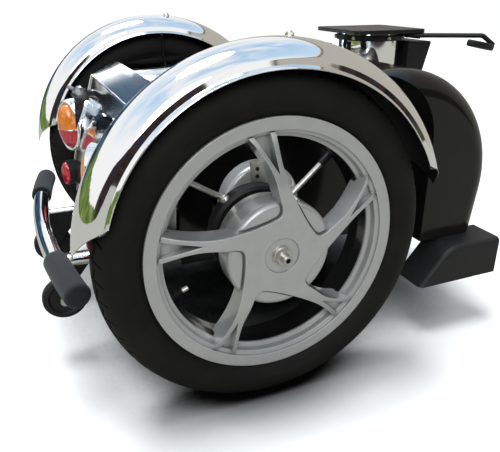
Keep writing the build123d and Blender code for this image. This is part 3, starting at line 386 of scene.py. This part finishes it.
slotFinish = {
    "tyre_rubber": tyreRubber, "cast_silver": castSilver, "zinc_steel": zincSteel, "chrome": chrome,
    "black_frame": blackFrame, "gloss_black_shell": bodyBlack, "matte_black_plastic": matteBlack,
    "amber_lens": amberLens, "red_lens": redLens, "foam_black": foamBlack,
}
nodeFinish = {
    "tail_cover": satinChrome, "seat_pin": blackFrame,
    "wheel_right": barrelPaintedShade("castWheel.right", -1), "wheel_left": barrelPaintedShade("castWheel.left", 1),
}
slotOf = {entry["node"]: entry["material_slot"] for entry in frame["record"]["subparts"]}
for name, obj in nodes.items():
    obj.data.materials.clear()
    obj.data.materials.append(nodeFinish.get(name, slotFinish[slotOf[name]]))
print("finishes set on", len(nodes), "nodes")

# tyres with a blocked tread

tyre = {
    "crownRadius": 0.04447, "crownMiddle": 0.24353,  # the crown is an arc across the tyre
    "pitches": 54, "depth": 0.0036, "slant": 0.75, "slantFrom": 0.0150, "slantTo": 0.040,
    "zigzag": 0.0028, "zigzagStart": 0.44,
    # across the tread from its middle: how deep a place lies in the slanted grooves and in the
    # groove round the tyre, and how far it follows the zigzag
    "tread": ((0.0, 0, 0, 0), (0.0050, 0, 0, 0), (0.0066, 0, 0, 0.3), (0.0088, 0.9, 0, 0.6),
              (0.0124, 1, 0, 1), (0.0131, 1, 1, 1), (0.0169, 1, 1, 1), (0.0176, 1, 0, 1),
              (0.0208, 1, 0, 0.5), (0.0240, 1, 0, 0), (0.0268, 1, 0, 0), (0.0292, 0.7, 0, 0),
              (0.0312, 0, 0, 0), (0.0350, 0, 0, 0), (0.0385, 0, 0, 0), (0.0422, 0, 0, 0)),
    "wall": ((0.044, 0.250), (0.041, 0.2315), (0.0297, 0.218)), "wallRows": 15,
    "lines": {3: 0.0006, 4: 0.0006, 9: 0.0007, 10: 0.0007},  # raised rows round the sidewall
    "bead": ((0.0297, 0.2063), (0.0207, 0.2063), (0.0197, 0.221), (0.035, 0.250), (0.025, 0.2687)),
    "inside": 0.279,
    # along one pitch: places, and whether a slanted groove is there
    "pitch": ((0.0, 1), (0.11, 1), (0.135, 0), (0.35, 0), (0.56, 0), (0.76, 0), (0.975, 0)),
}


def crownHeight(across):
    return tyre["crownMiddle"] + sqrt(tyre["crownRadius"] ** 2 - across ** 2)


def tyreRows():
    # from the middle of the tread to the bead, then both sides in one closed loop
    half = [(u, crownHeight(u), *shares) for u, *shares in tyre["tread"]]
    for i, (u, r) in enumerate(arcThrough(*tyre["wall"], tyre["wallRows"])):
        half.append((u + tyre["lines"].get(i, 0), r, 0, 0, 0))
    half += [(u, r, 0, 0, 0) for u, r in tyre["bead"]]
    return [(-u, *rest) for u, *rest in reversed(half[1:])] + half + [(0.0, tyre["inside"], 0, 0, 0)]


def tyreParts(hand):
    rows = tyreRows()
    points = []
    for u, r, slanted, ring, follow in rows:
        slope = Vector((u, r - tyre["crownMiddle"])).normalized()
        for pitch in range(tyre["pitches"]):
            for share, inGroove in tyre["pitch"]:
                wave = abs(((share + tyre["zigzagStart"]) % 1.0) * 2 - 1) * 2 - 1
                across = u + tyre["zigzag"] * wave * follow * (1 if u > 0 else -1)
                sink = tyre["depth"] * max(slanted * inGroove, ring)
                height = crownHeight(across) if slanted or ring or follow else r
                slant = max(0.0, min(abs(u), tyre["slantTo"]) - tyre["slantFrom"])
                turn = 2 * pi * (pitch + share) / tyre["pitches"] + tyre["slant"] * slant / tyreRadius
                radius = height - sink * slope.y
                place = halfTrack + across - sink * slope.x
                points.append((axleX + radius * cos(turn), hand * place, axleZ + radius * sin(turn)))
    around = tyre["pitches"] * len(tyre["pitch"])
    return [(points, gridFaces(len(rows), around, True, True))]


for side, hand in sides.items():
    addPiece(joinedMesh(f"treadedTyre.{side}", tyreParts(hand)), tyreRubber, f"{side}_wheel",
             28, (f"tyre_{side}",))
print("tyres built")

# crowned mudguards with a crease, turned-out lips and tongue-shaped ends

guard = {
    "lift": 0.0126, "crest": 0.3128, "edge": 0.272, "halfWidth": 0.0555, "sheet": 0.002,
    "lip": 0.008, "lipRise": 0.003, "flank": 0.0095, "flankRun": 0.0026, "flankRows": (0.86, 0.5, 0.16),
    "fold": (0.0014, 0.0004), "underFold": (0.0012, 0.0008), "hair": 0.0001,  # small rounds at the crease
    "lipCurl": 0.4,
    "blend": 100.0, "flare": 0.024,  # forward of this angle the arch widens
    # angles from the front, over the top
    "frontTip": 12.0, "frontCorner": 25.0, "rearCorner": 164.0, "rearTip": 177.5,
    "across": 31, "along": 132,
    "underInset": 0.0015, "underTurn": -0.15,
}
guardCrease = guard["halfWidth"] - guard["lip"]
guardFoot = guard["edge"] + guard["sheet"] + guard["lipRise"]


def guardPoint(angle, u, r, hand):
    flare = guard["flare"] if angle < guard["blend"] else 0.0
    middle = fromAxle(0, 0, guard["lift"]) - outward(guard["blend"]) * flare
    place = middle + outward(angle) * (r + flare)
    return Vector((place.x, hand * (halfTrack + u), place.z))


def guardOutside():
    # across the sheet's outer face: crown, flank, crease and turned-out lip
    sheet, roll, hair = guard["sheet"], guard["sheet"] / 2, guard["hair"]
    flankRun, flank, fold = guard["flankRun"], guard["flank"], guard["fold"]
    crown = ((flankRun - guardCrease, guardFoot + flank), (0, guard["crest"]),
             (guardCrease - flankRun, guardFoot + flank))
    side = [(guardCrease - flankRun * part, guardFoot + flank * part) for part in guard["flankRows"]]
    side += [(guardCrease - hair, guardFoot + fold[1]), (guardCrease + fold[0], guardFoot - fold[1]),
             (guard["halfWidth"] - roll * guard["lipCurl"], guard["edge"] + sheet),
             (guard["halfWidth"], guard["edge"] + roll)]
    return mirrored(side) + arcThrough(*crown, guard["across"]) + side


def guardInside():
    # the same across the inner face, one sheet further in
    sheet, roll, hair = guard["sheet"], guard["sheet"] / 2, guard["hair"]
    reach, rise = guardCrease - guard["flankRun"] - sheet, guardFoot + guard["flank"] - roll
    foot, out, down = guardCrease - sheet, *guard["underFold"]
    side = [(foot, guardFoot - sheet), (foot + out, guardFoot - sheet - down),
            (guard["halfWidth"] - roll, guard["edge"]), (guard["halfWidth"] - hair, guard["edge"] + roll / 2)]
    crown = ((-reach, rise), (0, guard["crest"] - sheet), (reach, rise))
    return mirrored(side) + arcThrough(*crown, guard["across"]) + side


def guardTongue(tip, corner, flare, share, r):
    # how far the rounded tongue at an end draws the sheet in, in degrees
    reach = abs(radians(guard[tip] - guard[corner])) * (guard["edge"] + flare)
    return degrees(asin(reach * share / (r + flare)))


def guardParts(hand):
    outside = guardOutside()
    loop = outside + list(reversed(guardInside()))
    points = []
    for u, r in loop:
        share = min(1.0, abs(u) / guard["halfWidth"])
        start = guard["frontTip"] + guardTongue("frontTip", "frontCorner", guard["flare"], share, r)
        end = guard["rearTip"] - guardTongue("rearTip", "rearCorner", 0.0, share, r)
        for i in range(guard["along"] + 1):
            points.append(guardPoint(start + (end - start) * i / guard["along"], u, r, hand))
    around, last = guard["along"] + 1, len(loop) - 1
    faces = gridFaces(len(loop), around, rowsClosed=True)
    for end in (0, around - 1):
        for k in range(len(outside) - 1):
            corners = (k, k + 1, last - k - 1, last - k)
            faces.append(tuple(corner * around + end for corner in corners))
    return [(points, faces)]


def paintUnderside(mesh, surface):
    # faces that look at the tyre take the second finish
    mesh.materials.append(surface)
    for face in mesh.polygons:
        radial = face.center - fromAxle(0, 0, guard["lift"])
        radial.y = 0
        inside = abs(abs(face.center.y) - halfTrack) < guard["halfWidth"] - guard["underInset"]
        if inside and face.normal.dot(radial.normalized()) < guard["underTurn"]:
            face.material_index = 1


for side, hand in sides.items():
    piece = addPiece(joinedMesh(f"chromeGuard.{side}", guardParts(hand)), chrome, "chassis", 32,
                     (f"mudguard_{side}",))
    paintUnderside(piece.data, guardUnder)
print("mudguards built")

# nuts and bolts of the mudguards

guardNut = {"crestAngle": 84.5, "crestAcross": -0.012, "flats": 0.012, "height": 0.009, "sink": 0.0004,
            "insideAngles": (88.0, 120.0), "insideAcross": -0.030, "gap": 0.0002, "head": (0.010, 0.006),
            "shank": [(0, 0.003), (0.016, 0.003), (0.017, 0.0025)]}


def onGuard(angle, u, hand):
    # a place on the crown's outer face and the way it faces there
    rise = guard["crest"] - guardFoot - guard["flank"]
    radius = ((guardCrease - guard["flankRun"]) ** 2 + rise * rise) / (2 * rise)
    upward = sqrt(1 - (u / radius) ** 2)
    place = guardPoint(angle, u, guard["crest"] - radius + radius * upward, hand)
    return place, outward(angle) * upward + Vector((0, hand * u / radius, 0))


def guardNuts(hand):
    place, facing = onGuard(guardNut["crestAngle"], guardNut["crestAcross"], hand)
    parts = domeNut(place - facing * guardNut["sink"], facing, guardNut["flats"], guardNut["height"])
    # inside, the bolts that the stays' tabs hang from
    for angle in guardNut["insideAngles"]:
        place, facing = onGuard(angle, guardNut["insideAcross"], hand)
        inside = place - facing * (guard["sheet"] + guardNut["gap"])
        parts.append(hexHead(inside, -facing, *guardNut["head"]))
        parts.append(turned(guardNut["shank"], inside, -facing, 16))
    return parts


for side, hand in sides.items():
    addPiece(joinedMesh(f"guardNuts.{side}", guardNuts(hand)), zincSteel, "chassis", 30)
print("mudguard nuts built")

# small fittings on the axle and round the wheels

stay = {"footAngles": (36.5, 130.0), "footRadius": 0.084, "footOut": 0.307, "out": 0.302, "direction": 41.0,
        "washer": [(0, 0.0085), (0.0016, 0.0085)], "washerSink": 0.0008, "nut": (0.012, 0.010),
        # collars on the front stay: from and to, measured from the axle, then the radius
        "clamp": ((0.164, 0.190), 0.0068), "brass": ((0.193, 0.203), 0.0085), "chamfer": (0.001, 0.86)}
stud = {"tip": 0.4373, "outer": 0.0078, "socket": 0.0045, "foot": -0.006, "top": 0.0026, "chamfer": 0.001,
        "corners": 36, "steps": 48,
        "washerDown": 0.0202, "washer": [(0, 0.0150), (0.0006, 0.0166), (0.0016, 0.0166), (0.0022, 0.0150)],
        "nutDown": 0.0182, "nut": [(0, 0.0150), (0.0012, 0.0150), (0.0024, 0.0142)]}
case = {"face": 0.2975, "thick": 0.004, "round": 0.004,  # corners: x, z and where their round starts
        "corners": ((0.017, 0.118, 0), (0.001, 0.118, 90), (0.001, 0.080, 180), (0.017, 0.080, 270)),
        "screwX": 0.009, "screwHeights": (0.094, 0.107),
        "screw": [(0, 0.0034), (0.0012, 0.0034), (0.0016, 0.0028)]}
arm = {"x": 0.009, "path": ((0.200, 0.222), (0.285, 0.222), (0.296, 0.225), (0.302, 0.233), (0.3035, 0.245),
                            (0.3035, 0.283)), "halfWidth": 0.010, "flat": 0.16}
valve = {"angle": 201.0, "foot": 0.1825, "across": 0.002, "length": 0.020,
         "stem": [(0, 0.0075), (0.003, 0.0070), (0.006, 0.0042), (0.020, 0.0036)],
         "cap": [(0, 0.0030), (0.001, 0.0042), (0.0105, 0.0040), (0.0115, 0.0030)]}


def stayNuts(hand):
    parts, axis = [], Vector((0, hand, 0))
    for angle in stay["footAngles"]:
        foot = fromAxle(0, hand * stay["footOut"], 0) + outward(angle) * stay["footRadius"]
        parts += domeNut(foot, axis, *stay["nut"])
        parts.append(turned(stay["washer"], foot - axis * stay["washerSink"], axis, 24))
    return parts


def alongStay(reach):
    # the place on the front stay's middle line at a distance from the axle
    foot, out = outward(stay["footAngles"][0]) * stay["footRadius"], outward(stay["direction"])
    along = foot.dot(out)
    return foot + out * (sqrt(along ** 2 + reach ** 2 - stay["footRadius"] ** 2) - along)


def stayCollar(hand, ends, radius, steps):
    # a collar round the front stay, with chamfered ends
    first, last = (alongStay(reach) for reach in ends)
    long, (run, narrow) = (last - first).length, stay["chamfer"]
    profile = [(0, radius * narrow), (run, radius), (long - run, radius), (long, radius * narrow)]
    return [turned(profile, fromAxle(0, hand * stay["out"], 0) + first, outward(stay["direction"]), steps)]


def socketStud(hand):
    # the end of the axle's stud, a ring round a hexagon socket, over a nut and a washer
    tip, axis, count = fromAxle(0, hand * stud["tip"], 0), Vector((0, hand, 0)), stud["corners"]
    rings = ((stud["foot"], stud["outer"], False), (stud["top"] - stud["chamfer"], stud["outer"], False),
             (stud["top"], stud["outer"] - stud["chamfer"], False), (stud["top"], stud["socket"], True),
             (0.0, stud["socket"], True))
    points = []
    for along, radius, sixSided in rings:
        for i in range(count):
            turn = 2 * pi * i / count
            reach = radius * cos(pi / 6) / cos(turn % (pi / 3) - pi / 6) if sixSided else radius
            points.append(tip + axis * along + Vector((cos(turn), 0, sin(turn))) * reach)
    washer = turned(stud["washer"], tip - axis * stud["washerDown"], axis, stud["steps"])
    nut = turned(stud["nut"], tip - axis * stud["nutDown"], axis, stud["steps"])
    return [(points, tubeFaces(len(rings), count)), washer, nut]


def caseBracket(hand):
    # a flat upright strap on the brake case, with rounded corners
    outline = []
    for x, z, start in case["corners"]:
        for step in range(5):
            turn = radians(start + 90 * step / 4)
            outline.append((x + case["round"] * cos(turn), z + case["round"] * sin(turn)))
    return [slab(outline, hand * (case["face"] - case["thick"]), hand * case["face"])]


def caseScrews(hand):
    return [turned(case["screw"], fromAxle(case["screwX"], hand * case["face"], z), (0, hand, 0), 20)
            for z in case["screwHeights"]]


def guardArm(hand):
    # from the body's side out to the mudguard's inner edge
    path = [fromAxle(arm["x"], hand * y, z) for y, z in arm["path"]]
    return [rodAlong(path, arm["halfWidth"], 16, arm["flat"], (1, 0, 0))]


def valvePart(hand, profile, up):
    # a rubber stem through the barrel or its metal cap, pointing at the axle
    out = outward(valve["angle"])
    foot = fromAxle(0, hand * (halfTrack + valve["across"]), 0) + out * (valve["foot"] - up)
    return [turned(profile, foot, -out, 20)]


for side, hand in sides.items():
    onWheel = f"{side}_wheel"
    for name, parts, surface, body, slot in (
            ("valveStem", valvePart(hand, valve["stem"], 0), tyreRubber, onWheel, "tyre_rubber"),
            ("valveCap", valvePart(hand, valve["cap"], valve["length"]), zincSteel, onWheel, "zinc_steel"),
            ("stayNuts", stayNuts(hand), zincSteel, "chassis", "zinc_steel"),
            ("stayClamp", stayCollar(hand, *stay["clamp"], 28), blackFrame, "chassis", "black_frame"),
            ("stayBrass", stayCollar(hand, *stay["brass"], 6), brassNut, "chassis", "zinc_steel"),
            ("hubStud", socketStud(hand), zincSteel, onWheel, "zinc_steel"),
            ("caseBracket", caseBracket(hand), zincSteel, "chassis", "zinc_steel"),
            ("caseScrews", caseScrews(hand), blackFrame, "chassis", "black_frame"),
            ("guardArm", guardArm(hand), blackFrame, "chassis", "black_frame")):
        addPiece(joinedMesh(f"{name}.{side}", parts), surface, body, 30)
print("fittings built")

# foam sleeves on the bumper's ends, closed outside

sleeve = {"inner": 0.184, "outer": 0.3255, "radius": 0.0218, "round": 0.006, "steps": 56, "rings": 12,
          "roundRings": 6,
          "lip": ((0.004, 0.0163), (0, 0.0175), (0, 0.0205), (0.0016, 0.0218)),  # from the inner end on
          "middle": -0.339, "level": -0.056, "bow": 0.031, "half": 0.321,  # the bumper tube's bow
          "step": 0.001}


def bowPoint(y):
    radius = (sleeve["half"] ** 2 + sleeve["bow"] ** 2) / (2 * sleeve["bow"])
    return fromAxle(sleeve["middle"] + radius - sqrt(radius ** 2 - y ** 2), y, sleeve["level"])


def foamSleeve(hand):
    long, up, steps = sleeve["outer"] - sleeve["inner"], Vector((0, 0, 1)), sleeve["steps"]
    rings = [(sleeve["inner"] + along, radius) for along, radius in sleeve["lip"]]
    rings += [(sleeve["inner"] + long * i / sleeve["rings"], sleeve["radius"])
              for i in range(1, sleeve["rings"])]
    for i in range(sleeve["roundRings"] + 1):
        turn = pi / 2 * i / sleeve["roundRings"]
        rings.append((sleeve["outer"] - sleeve["round"] * (1 - sin(turn)),
                      sleeve["radius"] - sleeve["round"] * (1 - cos(turn))))
    points = []
    for y, radius in rings:
        along = (bowPoint(hand * y + sleeve["step"]) - bowPoint(hand * y - sleeve["step"])).normalized()
        across = up.cross(along)
        for i in range(steps):
            turn = 2 * pi * i / steps
            points.append(bowPoint(hand * y) + (across * cos(turn) + up * sin(turn)) * radius)
    return points, tubeFaces(len(rings), steps, startClosed=False)


addPiece(joinedMesh("foamSleeves", [foamSleeve(-1), foamSleeve(1)]), foamBlack, "chassis", 40,
         ("bumper_sleeves",))
print("bumper sleeves built")

# tail lamps: ribbed lenses in bright rims, each beside a black hood

lamp = {
    "turn": 35.0, "spread": 0.205, "behind": 0.248, "height": 0.097, "aside": 0.003,
    "lens": (0.0275, 0.0505), "depth": 0.020, "flatness": 0.18, "rings": 15, "steps": 96,  # half sizes
    "ribs": 0.0034, "ribHeight": 0.0007, "split": 0.091, "gap": 0.0003,  # split between the two colours
    "rim": 0.0042, "rimSet": 0.95, "rimLift": 0.0004, "rimSteps": (72, 10),
    "strip": (0.02, 0.2, 0.4, 0.6, 0.75, 0.87), "stripRadius": 0.0016,  # at these shares of the depth
}
hood = {
    "cap": ((-0.201, 0.162), (-0.2005, 0.178), (-0.205, 0.1865), (-0.213, 0.190), (-0.222, 0.190),
            (-0.2290, 0.1865), (-0.2325, 0.179), (-0.2330, 0.171), (-0.2320, 0.165), (-0.220, 0.160)),
    "tie": ((-0.184, 0.170), (-0.184, 0.181), (-0.203, 0.181), (-0.203, 0.170)),
    "blade": ((-0.2325, 0.170), (-0.209, 0.162), (-0.2200, 0.135), (-0.2345, 0.103), (-0.2360, 0.105)),
    "across": {"cap": (0.146, 0.172), "tie": (0.150, 0.166), "blade": (0.150, 0.154)},
    "nut": (-0.2325, 0.158, 0.175), "nutSize": (0.008, 0.005),
}


def lampPlace(hand, across, up, out):
    # a place on a lamp: across its face towards the middle of the vehicle, up, and out of the face
    turn = radians(lamp["turn"])
    facing = Vector((-cos(turn), -hand * sin(turn), 0))
    inwards = Vector((sin(turn), -hand * cos(turn), 0))
    middle = fromAxle(-lamp["behind"], hand * lamp["spread"], lamp["height"])
    return middle + inwards * (across + lamp["aside"]) + Vector((0, 0, up)) + facing * out


def domeShrink(step):
    # how wide the lens's dome still is at a share of its depth
    return sqrt(max(0.0, 1 - step * step)) * (1 - lamp["flatness"]) + lamp["flatness"]


def wholeLens(hand):
    (wide, high), count, steps = lamp["lens"], lamp["rings"], lamp["steps"]
    points = []
    for ring in range(count):
        step = sin(pi / 2 * ring / (count - 1))
        for i in range(steps):
            turn = 2 * pi * i / steps
            across = wide * domeShrink(step) * cos(turn)
            up = high * domeShrink(step) * sin(turn)
            wave = lamp["ribHeight"] * abs(sin(pi * across / lamp["ribs"])) if 0 < step < 1 else 0
            points.append(lampPlace(hand, across, up, lamp["depth"] * step + wave))
    return points, tubeFaces(count, steps)


def lensMesh(name, upper):
    # both lamps' lenses, cut at the level between the two colours
    mesh = joinedMesh(name, [wholeLens(-1), wholeLens(1)])
    work = bmesh.new()
    work.from_mesh(mesh)
    level = axleZ + lamp["split"] + (lamp["gap"] if upper else -lamp["gap"])
    cut = bmesh.ops.bisect_plane(work, geom=work.verts[:] + work.edges[:] + work.faces[:],
                                 plane_co=(0, 0, level), plane_no=(0, 0, 1), clear_inner=upper,
                                 clear_outer=not upper)
    edges = [e for e in cut["geom_cut"] if isinstance(e, bmesh.types.BMEdge)]
    bmesh.ops.holes_fill(work, edges=edges, sides=0)
    bmesh.ops.recalc_face_normals(work, faces=work.faces)
    work.to_mesh(mesh)
    work.free()
    return mesh


def lampRim(hand):
    (wide, high), rim, (around, steps) = lamp["lens"], lamp["rim"], lamp["rimSteps"]
    points = []
    for i in range(around):
        turn = 2 * pi * i / around
        for k in range(steps):
            roll = 2 * pi * k / steps
            grow = rim * (lamp["rimSet"] + cos(roll))
            points.append(lampPlace(hand, (wide + grow) * cos(turn), (high + grow) * sin(turn),
                                    lamp["rimLift"] + rim * sin(roll)))
    return points, gridFaces(around, steps, True, True)


def lampStrip(hand):
    # the bright strip over the dome between the two colours
    wide, high = lamp["lens"]
    drop = lamp["split"] - lamp["height"]
    half = []
    for step in lamp["strip"]:
        shrink = domeShrink(step)
        reach = wide * shrink * sqrt(max(0.0, 1 - (drop / (high * shrink)) ** 2))
        half.append((reach, lamp["depth"] * step))
    path = [(-across, out) for across, out in half] + list(reversed(half))
    return rodAlong([lampPlace(hand, across, drop, out) for across, out in path], lamp["stripRadius"], 8)


def lampHood(hand):
    parts = [slab(hood[part], hand * near, hand * far) for part, (near, far) in hood["across"].items()]
    x, y, z = hood["nut"]
    return parts + domeNut(fromAxle(x, hand * y, z), (-1, 0, 0), *hood["nutSize"])


addPiece(lensMesh("lampLens.amber", True), amberLens, "chassis", 40, ("amber_lenses",))
addPiece(lensMesh("lampLens.red", False), redLens, "chassis", 40, ("red_lenses",))
addPiece(joinedMesh("lampRims", [lampRim(-1), lampStrip(-1), lampRim(1), lampStrip(1)]), chrome, "chassis",
         40)
addPiece(joinedMesh("lampHoods", lampHood(-1) + lampHood(1)), hoodBlack, "chassis", 40)
print("lamps built")

# a bright bead along the tail panel's edges

tail = {"path": ((-0.178, 0.203), (-0.196, 0.150), (-0.222, 0.084), (-0.240, 0.020), (-0.246, -0.062)),
        "halfTop": 0.2445, "halfFoot": 0.2105, "bead": 0.0022}


def tailBeads():
    (topX, topZ), footZ = tail["path"][0], tail["path"][-1][1]
    lines = [[fromAxle(topX, y, topZ) for y in (-tail["halfTop"], 0, tail["halfTop"])]]
    for hand in (-1, 1):
        line = []
        for x, z in tail["path"]:
            half = tail["halfTop"] + (tail["halfFoot"] - tail["halfTop"]) * (topZ - z) / (topZ - footZ)
            line.append(fromAxle(x, hand * half, z))
        lines.append(line)
    return [rodAlong(line, tail["bead"], 12) for line in lines]


addPiece(joinedMesh("tailBeads", tailBeads()), chrome, "chassis", 40)
print("tail beads built")

# the seat's swivel ring and its bolts, under the plate

swivel = {"x": -0.104, "low": 0.366, "high": 0.3775, "radius": 0.0735, "bore": 0.0685, "chamfer": 0.001,
          "steps": 72, "bolts": 6, "bolt": (0.008, 0.005), "boltSink": 0.0005}


def swivelRing():
    thick, radius, chamfer = swivel["high"] - swivel["low"], swivel["radius"], swivel["chamfer"]
    profile = [(0, swivel["bore"]), (0, radius - chamfer), (chamfer, radius), (thick - chamfer, radius),
               (thick, radius - chamfer), (thick, swivel["bore"])]
    points = turned(profile, (swivel["x"], 0, swivel["low"]), (0, 0, 1), swivel["steps"])[0]
    return [(points, gridFaces(len(profile), swivel["steps"], rowsClosed=True, columnsClosed=True))]


def swivelBolts():
    middle = Vector((swivel["x"], 0, (swivel["low"] + swivel["high"]) / 2))
    parts = []
    for i in range(swivel["bolts"]):
        turn = 2 * pi * (i + 0.5) / swivel["bolts"]
        out = Vector((cos(turn), sin(turn), 0))
        parts.append(hexHead(middle + out * (swivel["radius"] - swivel["boltSink"]), out, *swivel["bolt"]))
    return parts


addPiece(joinedMesh("swivelRing", swivelRing()), blackFrame, "chassis", 30)
addPiece(joinedMesh("swivelBolts", swivelBolts()), zincSteel, "chassis", 30)
print("seat swivel built")

# room, light and camera

room = {
    "floorSize": 12.0, "floorSeen": 1.0, "floorTone": (0.37, 0.36, 0.325), "floorRough": 0.9,
    "shutDistance": 0.40, "shutDark": 0.385, "shutClear": 0.74, "shutTone": 0.004,  # the floor's soft shade
    "skyTint": (0.82, 0.92, 1.0), "skyLevel": 0.36, "skyGloss": 1.0,
}
suns = [  # name, where it shines from, strength, how wide it is in degrees, tint
    ("topLight", (-0.12, 0.16, 1.0), 3.15, 26.0, (0.96, 0.98, 1.0)),
    ("sideLight", (-0.38, -1.0, 0.75), 1.16, 34.0, (1.0, 0.985, 0.95)),
]
view = {"place": (-0.86992, -1.11771, 0.47166), "ahead": (0.3563, 0.8463, -0.3960), "lens": 39.66,
        "sensor": 36.0}


def paleFloor():
    mesh = bpy.data.meshes.new("floor")
    half = room["floorSize"] / 2
    corners = ((-half, -half), (half, -half), (half, half), (-half, half))
    mesh.from_pydata([(x, y, groundZ) for x, y in corners], [], [(0, 1, 2, 3)])
    floor = bpy.data.objects.new("floor", mesh)
    bpy.context.scene.collection.objects.link(floor)
    made = bpy.data.materials.new("paleFloor")
    made.use_nodes = True
    tree = made.node_tree
    shader = tree.nodes["Principled BSDF"]
    shader.inputs["Roughness"].default_value = room["floorRough"]
    shader.inputs["Specular IOR Level"].default_value = 0.0
    seen = node(tree, "LightPath").outputs["Is Camera Ray"]
    tone = mixed(tree, seen, solid(room["floorTone"]), solid(grey(room["floorSeen"])))
    # the floor darkens where something close shuts out the sky
    shut = node(tree, "AmbientOcclusion", {"Distance": room["shutDistance"]}, samples=40).outputs["AO"]
    deep = ranged(tree, shut, room["shutDark"], room["shutClear"], room["shutTone"],
                  interpolation_type="SMOOTHSTEP")
    tree.links.new(mixed(tree, 1.0, tone, deep, blend_type="MULTIPLY"), shader.inputs["Base Color"])
    mesh.materials.append(made)


# what metal mirrors: colours at places on a ramp, then where the hedge and the wall stand, each as
# two directions and the value at each of them
garden = {
    "leaves": [(0.36, (0.05, 0.08, 0.02)), (0.50, (0.14, 0.22, 0.05)), (0.66, (0.26, 0.34, 0.12))],
    "wood": [(0.40, (0.006, 0.010, 0.014)), (0.50, (0.02, 0.05, 0.08)), (0.57, (0.09, 0.20, 0.40)),
             (0.63, (0.03, 0.05, 0.03)), (0.74, (0.16, 0.22, 0.12))],
    "shade": [(0.40, (0.012, 0.012, 0.014)), (0.52, (0.05, 0.032, 0.026)), (0.60, (0.022, 0.022, 0.05)),
              (0.72, (0.05, 0.055, 0.04))],
    "sky": [(0.0, (1.0, 0.99, 0.96)), (0.50, (1.0, 1.0, 1.0)), (0.74, (0.62, 0.80, 0.97)),
            (1.0, (0.36, 0.58, 0.86))],
    "wall": [(0.0, (0.50, 0.47, 0.415)), (0.02, (0.10, 0.09, 0.08)), (0.045, (0.62, 0.60, 0.55)),
             (0.06, (1.0, 1.0, 1.0))],
    "farHedge": (-0.2, 0.9, 0.035, 0.34), "hedgeGap": (0.02, 0.40, 0.0, 0.5),
    "nearHedge": (-0.55, -0.30, 0.30, -0.10), "ragged": (0.3, 0.7, -0.035, 0.035),
    "woodFrom": (0.70, 0.90), "shadeFrom": (-0.50, -0.30, 1.0, 0.0),
    "wallTop": (0.10, 0.75, -0.10, 0.86), "eave": 0.055,
    "hedgeEdge": (0.0, 0.012), "cloudSpan": (0.46, 0.60), "cloudShare": 0.85,
    # scale, detail, roughness and distortion of three noises
    "leafNoise": (5.0, 6.0, 0.65), "cloudNoise": (2.2, 5.0, 0.55, 0.6), "twigNoise": (11.0, 5.0, 0.6, 0.8),
}


def gardenColour(tree):
    place = node(tree, "TexCoord").outputs["Generated"]
    x, y, z = node(tree, "SeparateXYZ", {0: place}).outputs
    leaves, clouds, twigs = (noise(tree, place, *garden[kind])
                             for kind in ("leafNoise", "cloudNoise", "twigNoise"))
    # a ragged hedge on both sides, lower towards the front
    gap = ranged(tree, x, *garden["hedgeGap"])
    hedgeTop = mathNode(tree, "SUBTRACT", ranged(tree, y, *garden["farHedge"]), gap)
    hedgeTop = mathNode(tree, "MAXIMUM", hedgeTop, ranged(tree, y, *garden["nearHedge"]))
    hedgeTop = mathNode(tree, "ADD", hedgeTop, ranged(tree, leaves, *garden["ragged"]))
    overHedge = fade(tree, mathNode(tree, "SUBTRACT", z, hedgeTop), garden["hedgeEdge"], grey(0), grey(1))
    hedge = mixed(tree, ranged(tree, y, *garden["woodFrom"]), ramp(tree, leaves, garden["leaves"]),
                  ramp(tree, twigs, garden["wood"]))
    hedge = mixed(tree, ranged(tree, y, *garden["shadeFrom"]), hedge, ramp(tree, twigs, garden["shade"]))
    # clouds over the hedge, and a pale wall with a dark eave in front of the vehicle
    puffs = fade(tree, clouds, garden["cloudSpan"], grey(0), grey(garden["cloudShare"]))
    cloudy = mixed(tree, puffs, ramp(tree, z, garden["sky"]), solid(grey(1)))
    overWall = mathNode(tree, "SUBTRACT", z, ranged(tree, x, *garden["wallTop"]))
    overEave = mathNode(tree, "GREATER_THAN", overWall, garden["eave"])
    distant = mixed(tree, overEave, ramp(tree, overWall, garden["wall"]), cloudy)
    return mixed(tree, overHedge, hedge, distant)


def sky():
    # a plain pale light, white where the camera sees it and a garden where metal mirrors it
    world = bpy.data.worlds.new("studio")
    bpy.context.scene.world = world
    world.use_nodes = True
    tree = world.node_tree
    plain = tree.nodes["Background"]
    plain.inputs["Color"].default_value = solid(room["skyTint"])
    plain.inputs["Strength"].default_value = room["skyLevel"]
    mirrors = node(tree, "Background", {"Color": gardenColour(tree), "Strength": room["skyGloss"]})
    white = node(tree, "Background", {"Color": solid(grey(1)), "Strength": 1.0})
    ray = node(tree, "LightPath").outputs
    lit = node(tree, "MixShader", {0: ray["Is Glossy Ray"], 1: plain.outputs[0], 2: mirrors.outputs[0]})
    seen = node(tree, "MixShader", {0: ray["Is Camera Ray"], 1: lit.outputs[0], 2: white.outputs[0]})
    tree.links.new(seen.outputs[0], tree.nodes["World Output"].inputs["Surface"])


def softSuns():
    for name, shinesFrom, strength, angle, tint in suns:
        light = bpy.data.lights.new(name, "SUN")
        light.energy = strength
        light.color = tint
        light.angle = radians(angle)
        sun = bpy.data.objects.new(name, light)
        sun.rotation_euler = (-Vector(shinesFrom)).to_track_quat("-Z", "Y").to_euler()
        bpy.context.scene.collection.objects.link(sun)


def setCamera():
    data = bpy.data.cameras.new("camera")
    data.lens = view["lens"]
    data.sensor_width = view["sensor"]
    camera = bpy.data.objects.new("camera", data)
    camera.location = view["place"]
    camera.rotation_euler = Vector(view["ahead"]).to_track_quat("-Z", "Y").to_euler()
    bpy.context.scene.collection.objects.link(camera)
    bpy.context.scene.camera = camera


paleFloor()
sky()
softSuns()
setCamera()
bpy.context.scene.view_settings.view_transform = "Standard"
print("room, light and camera set")
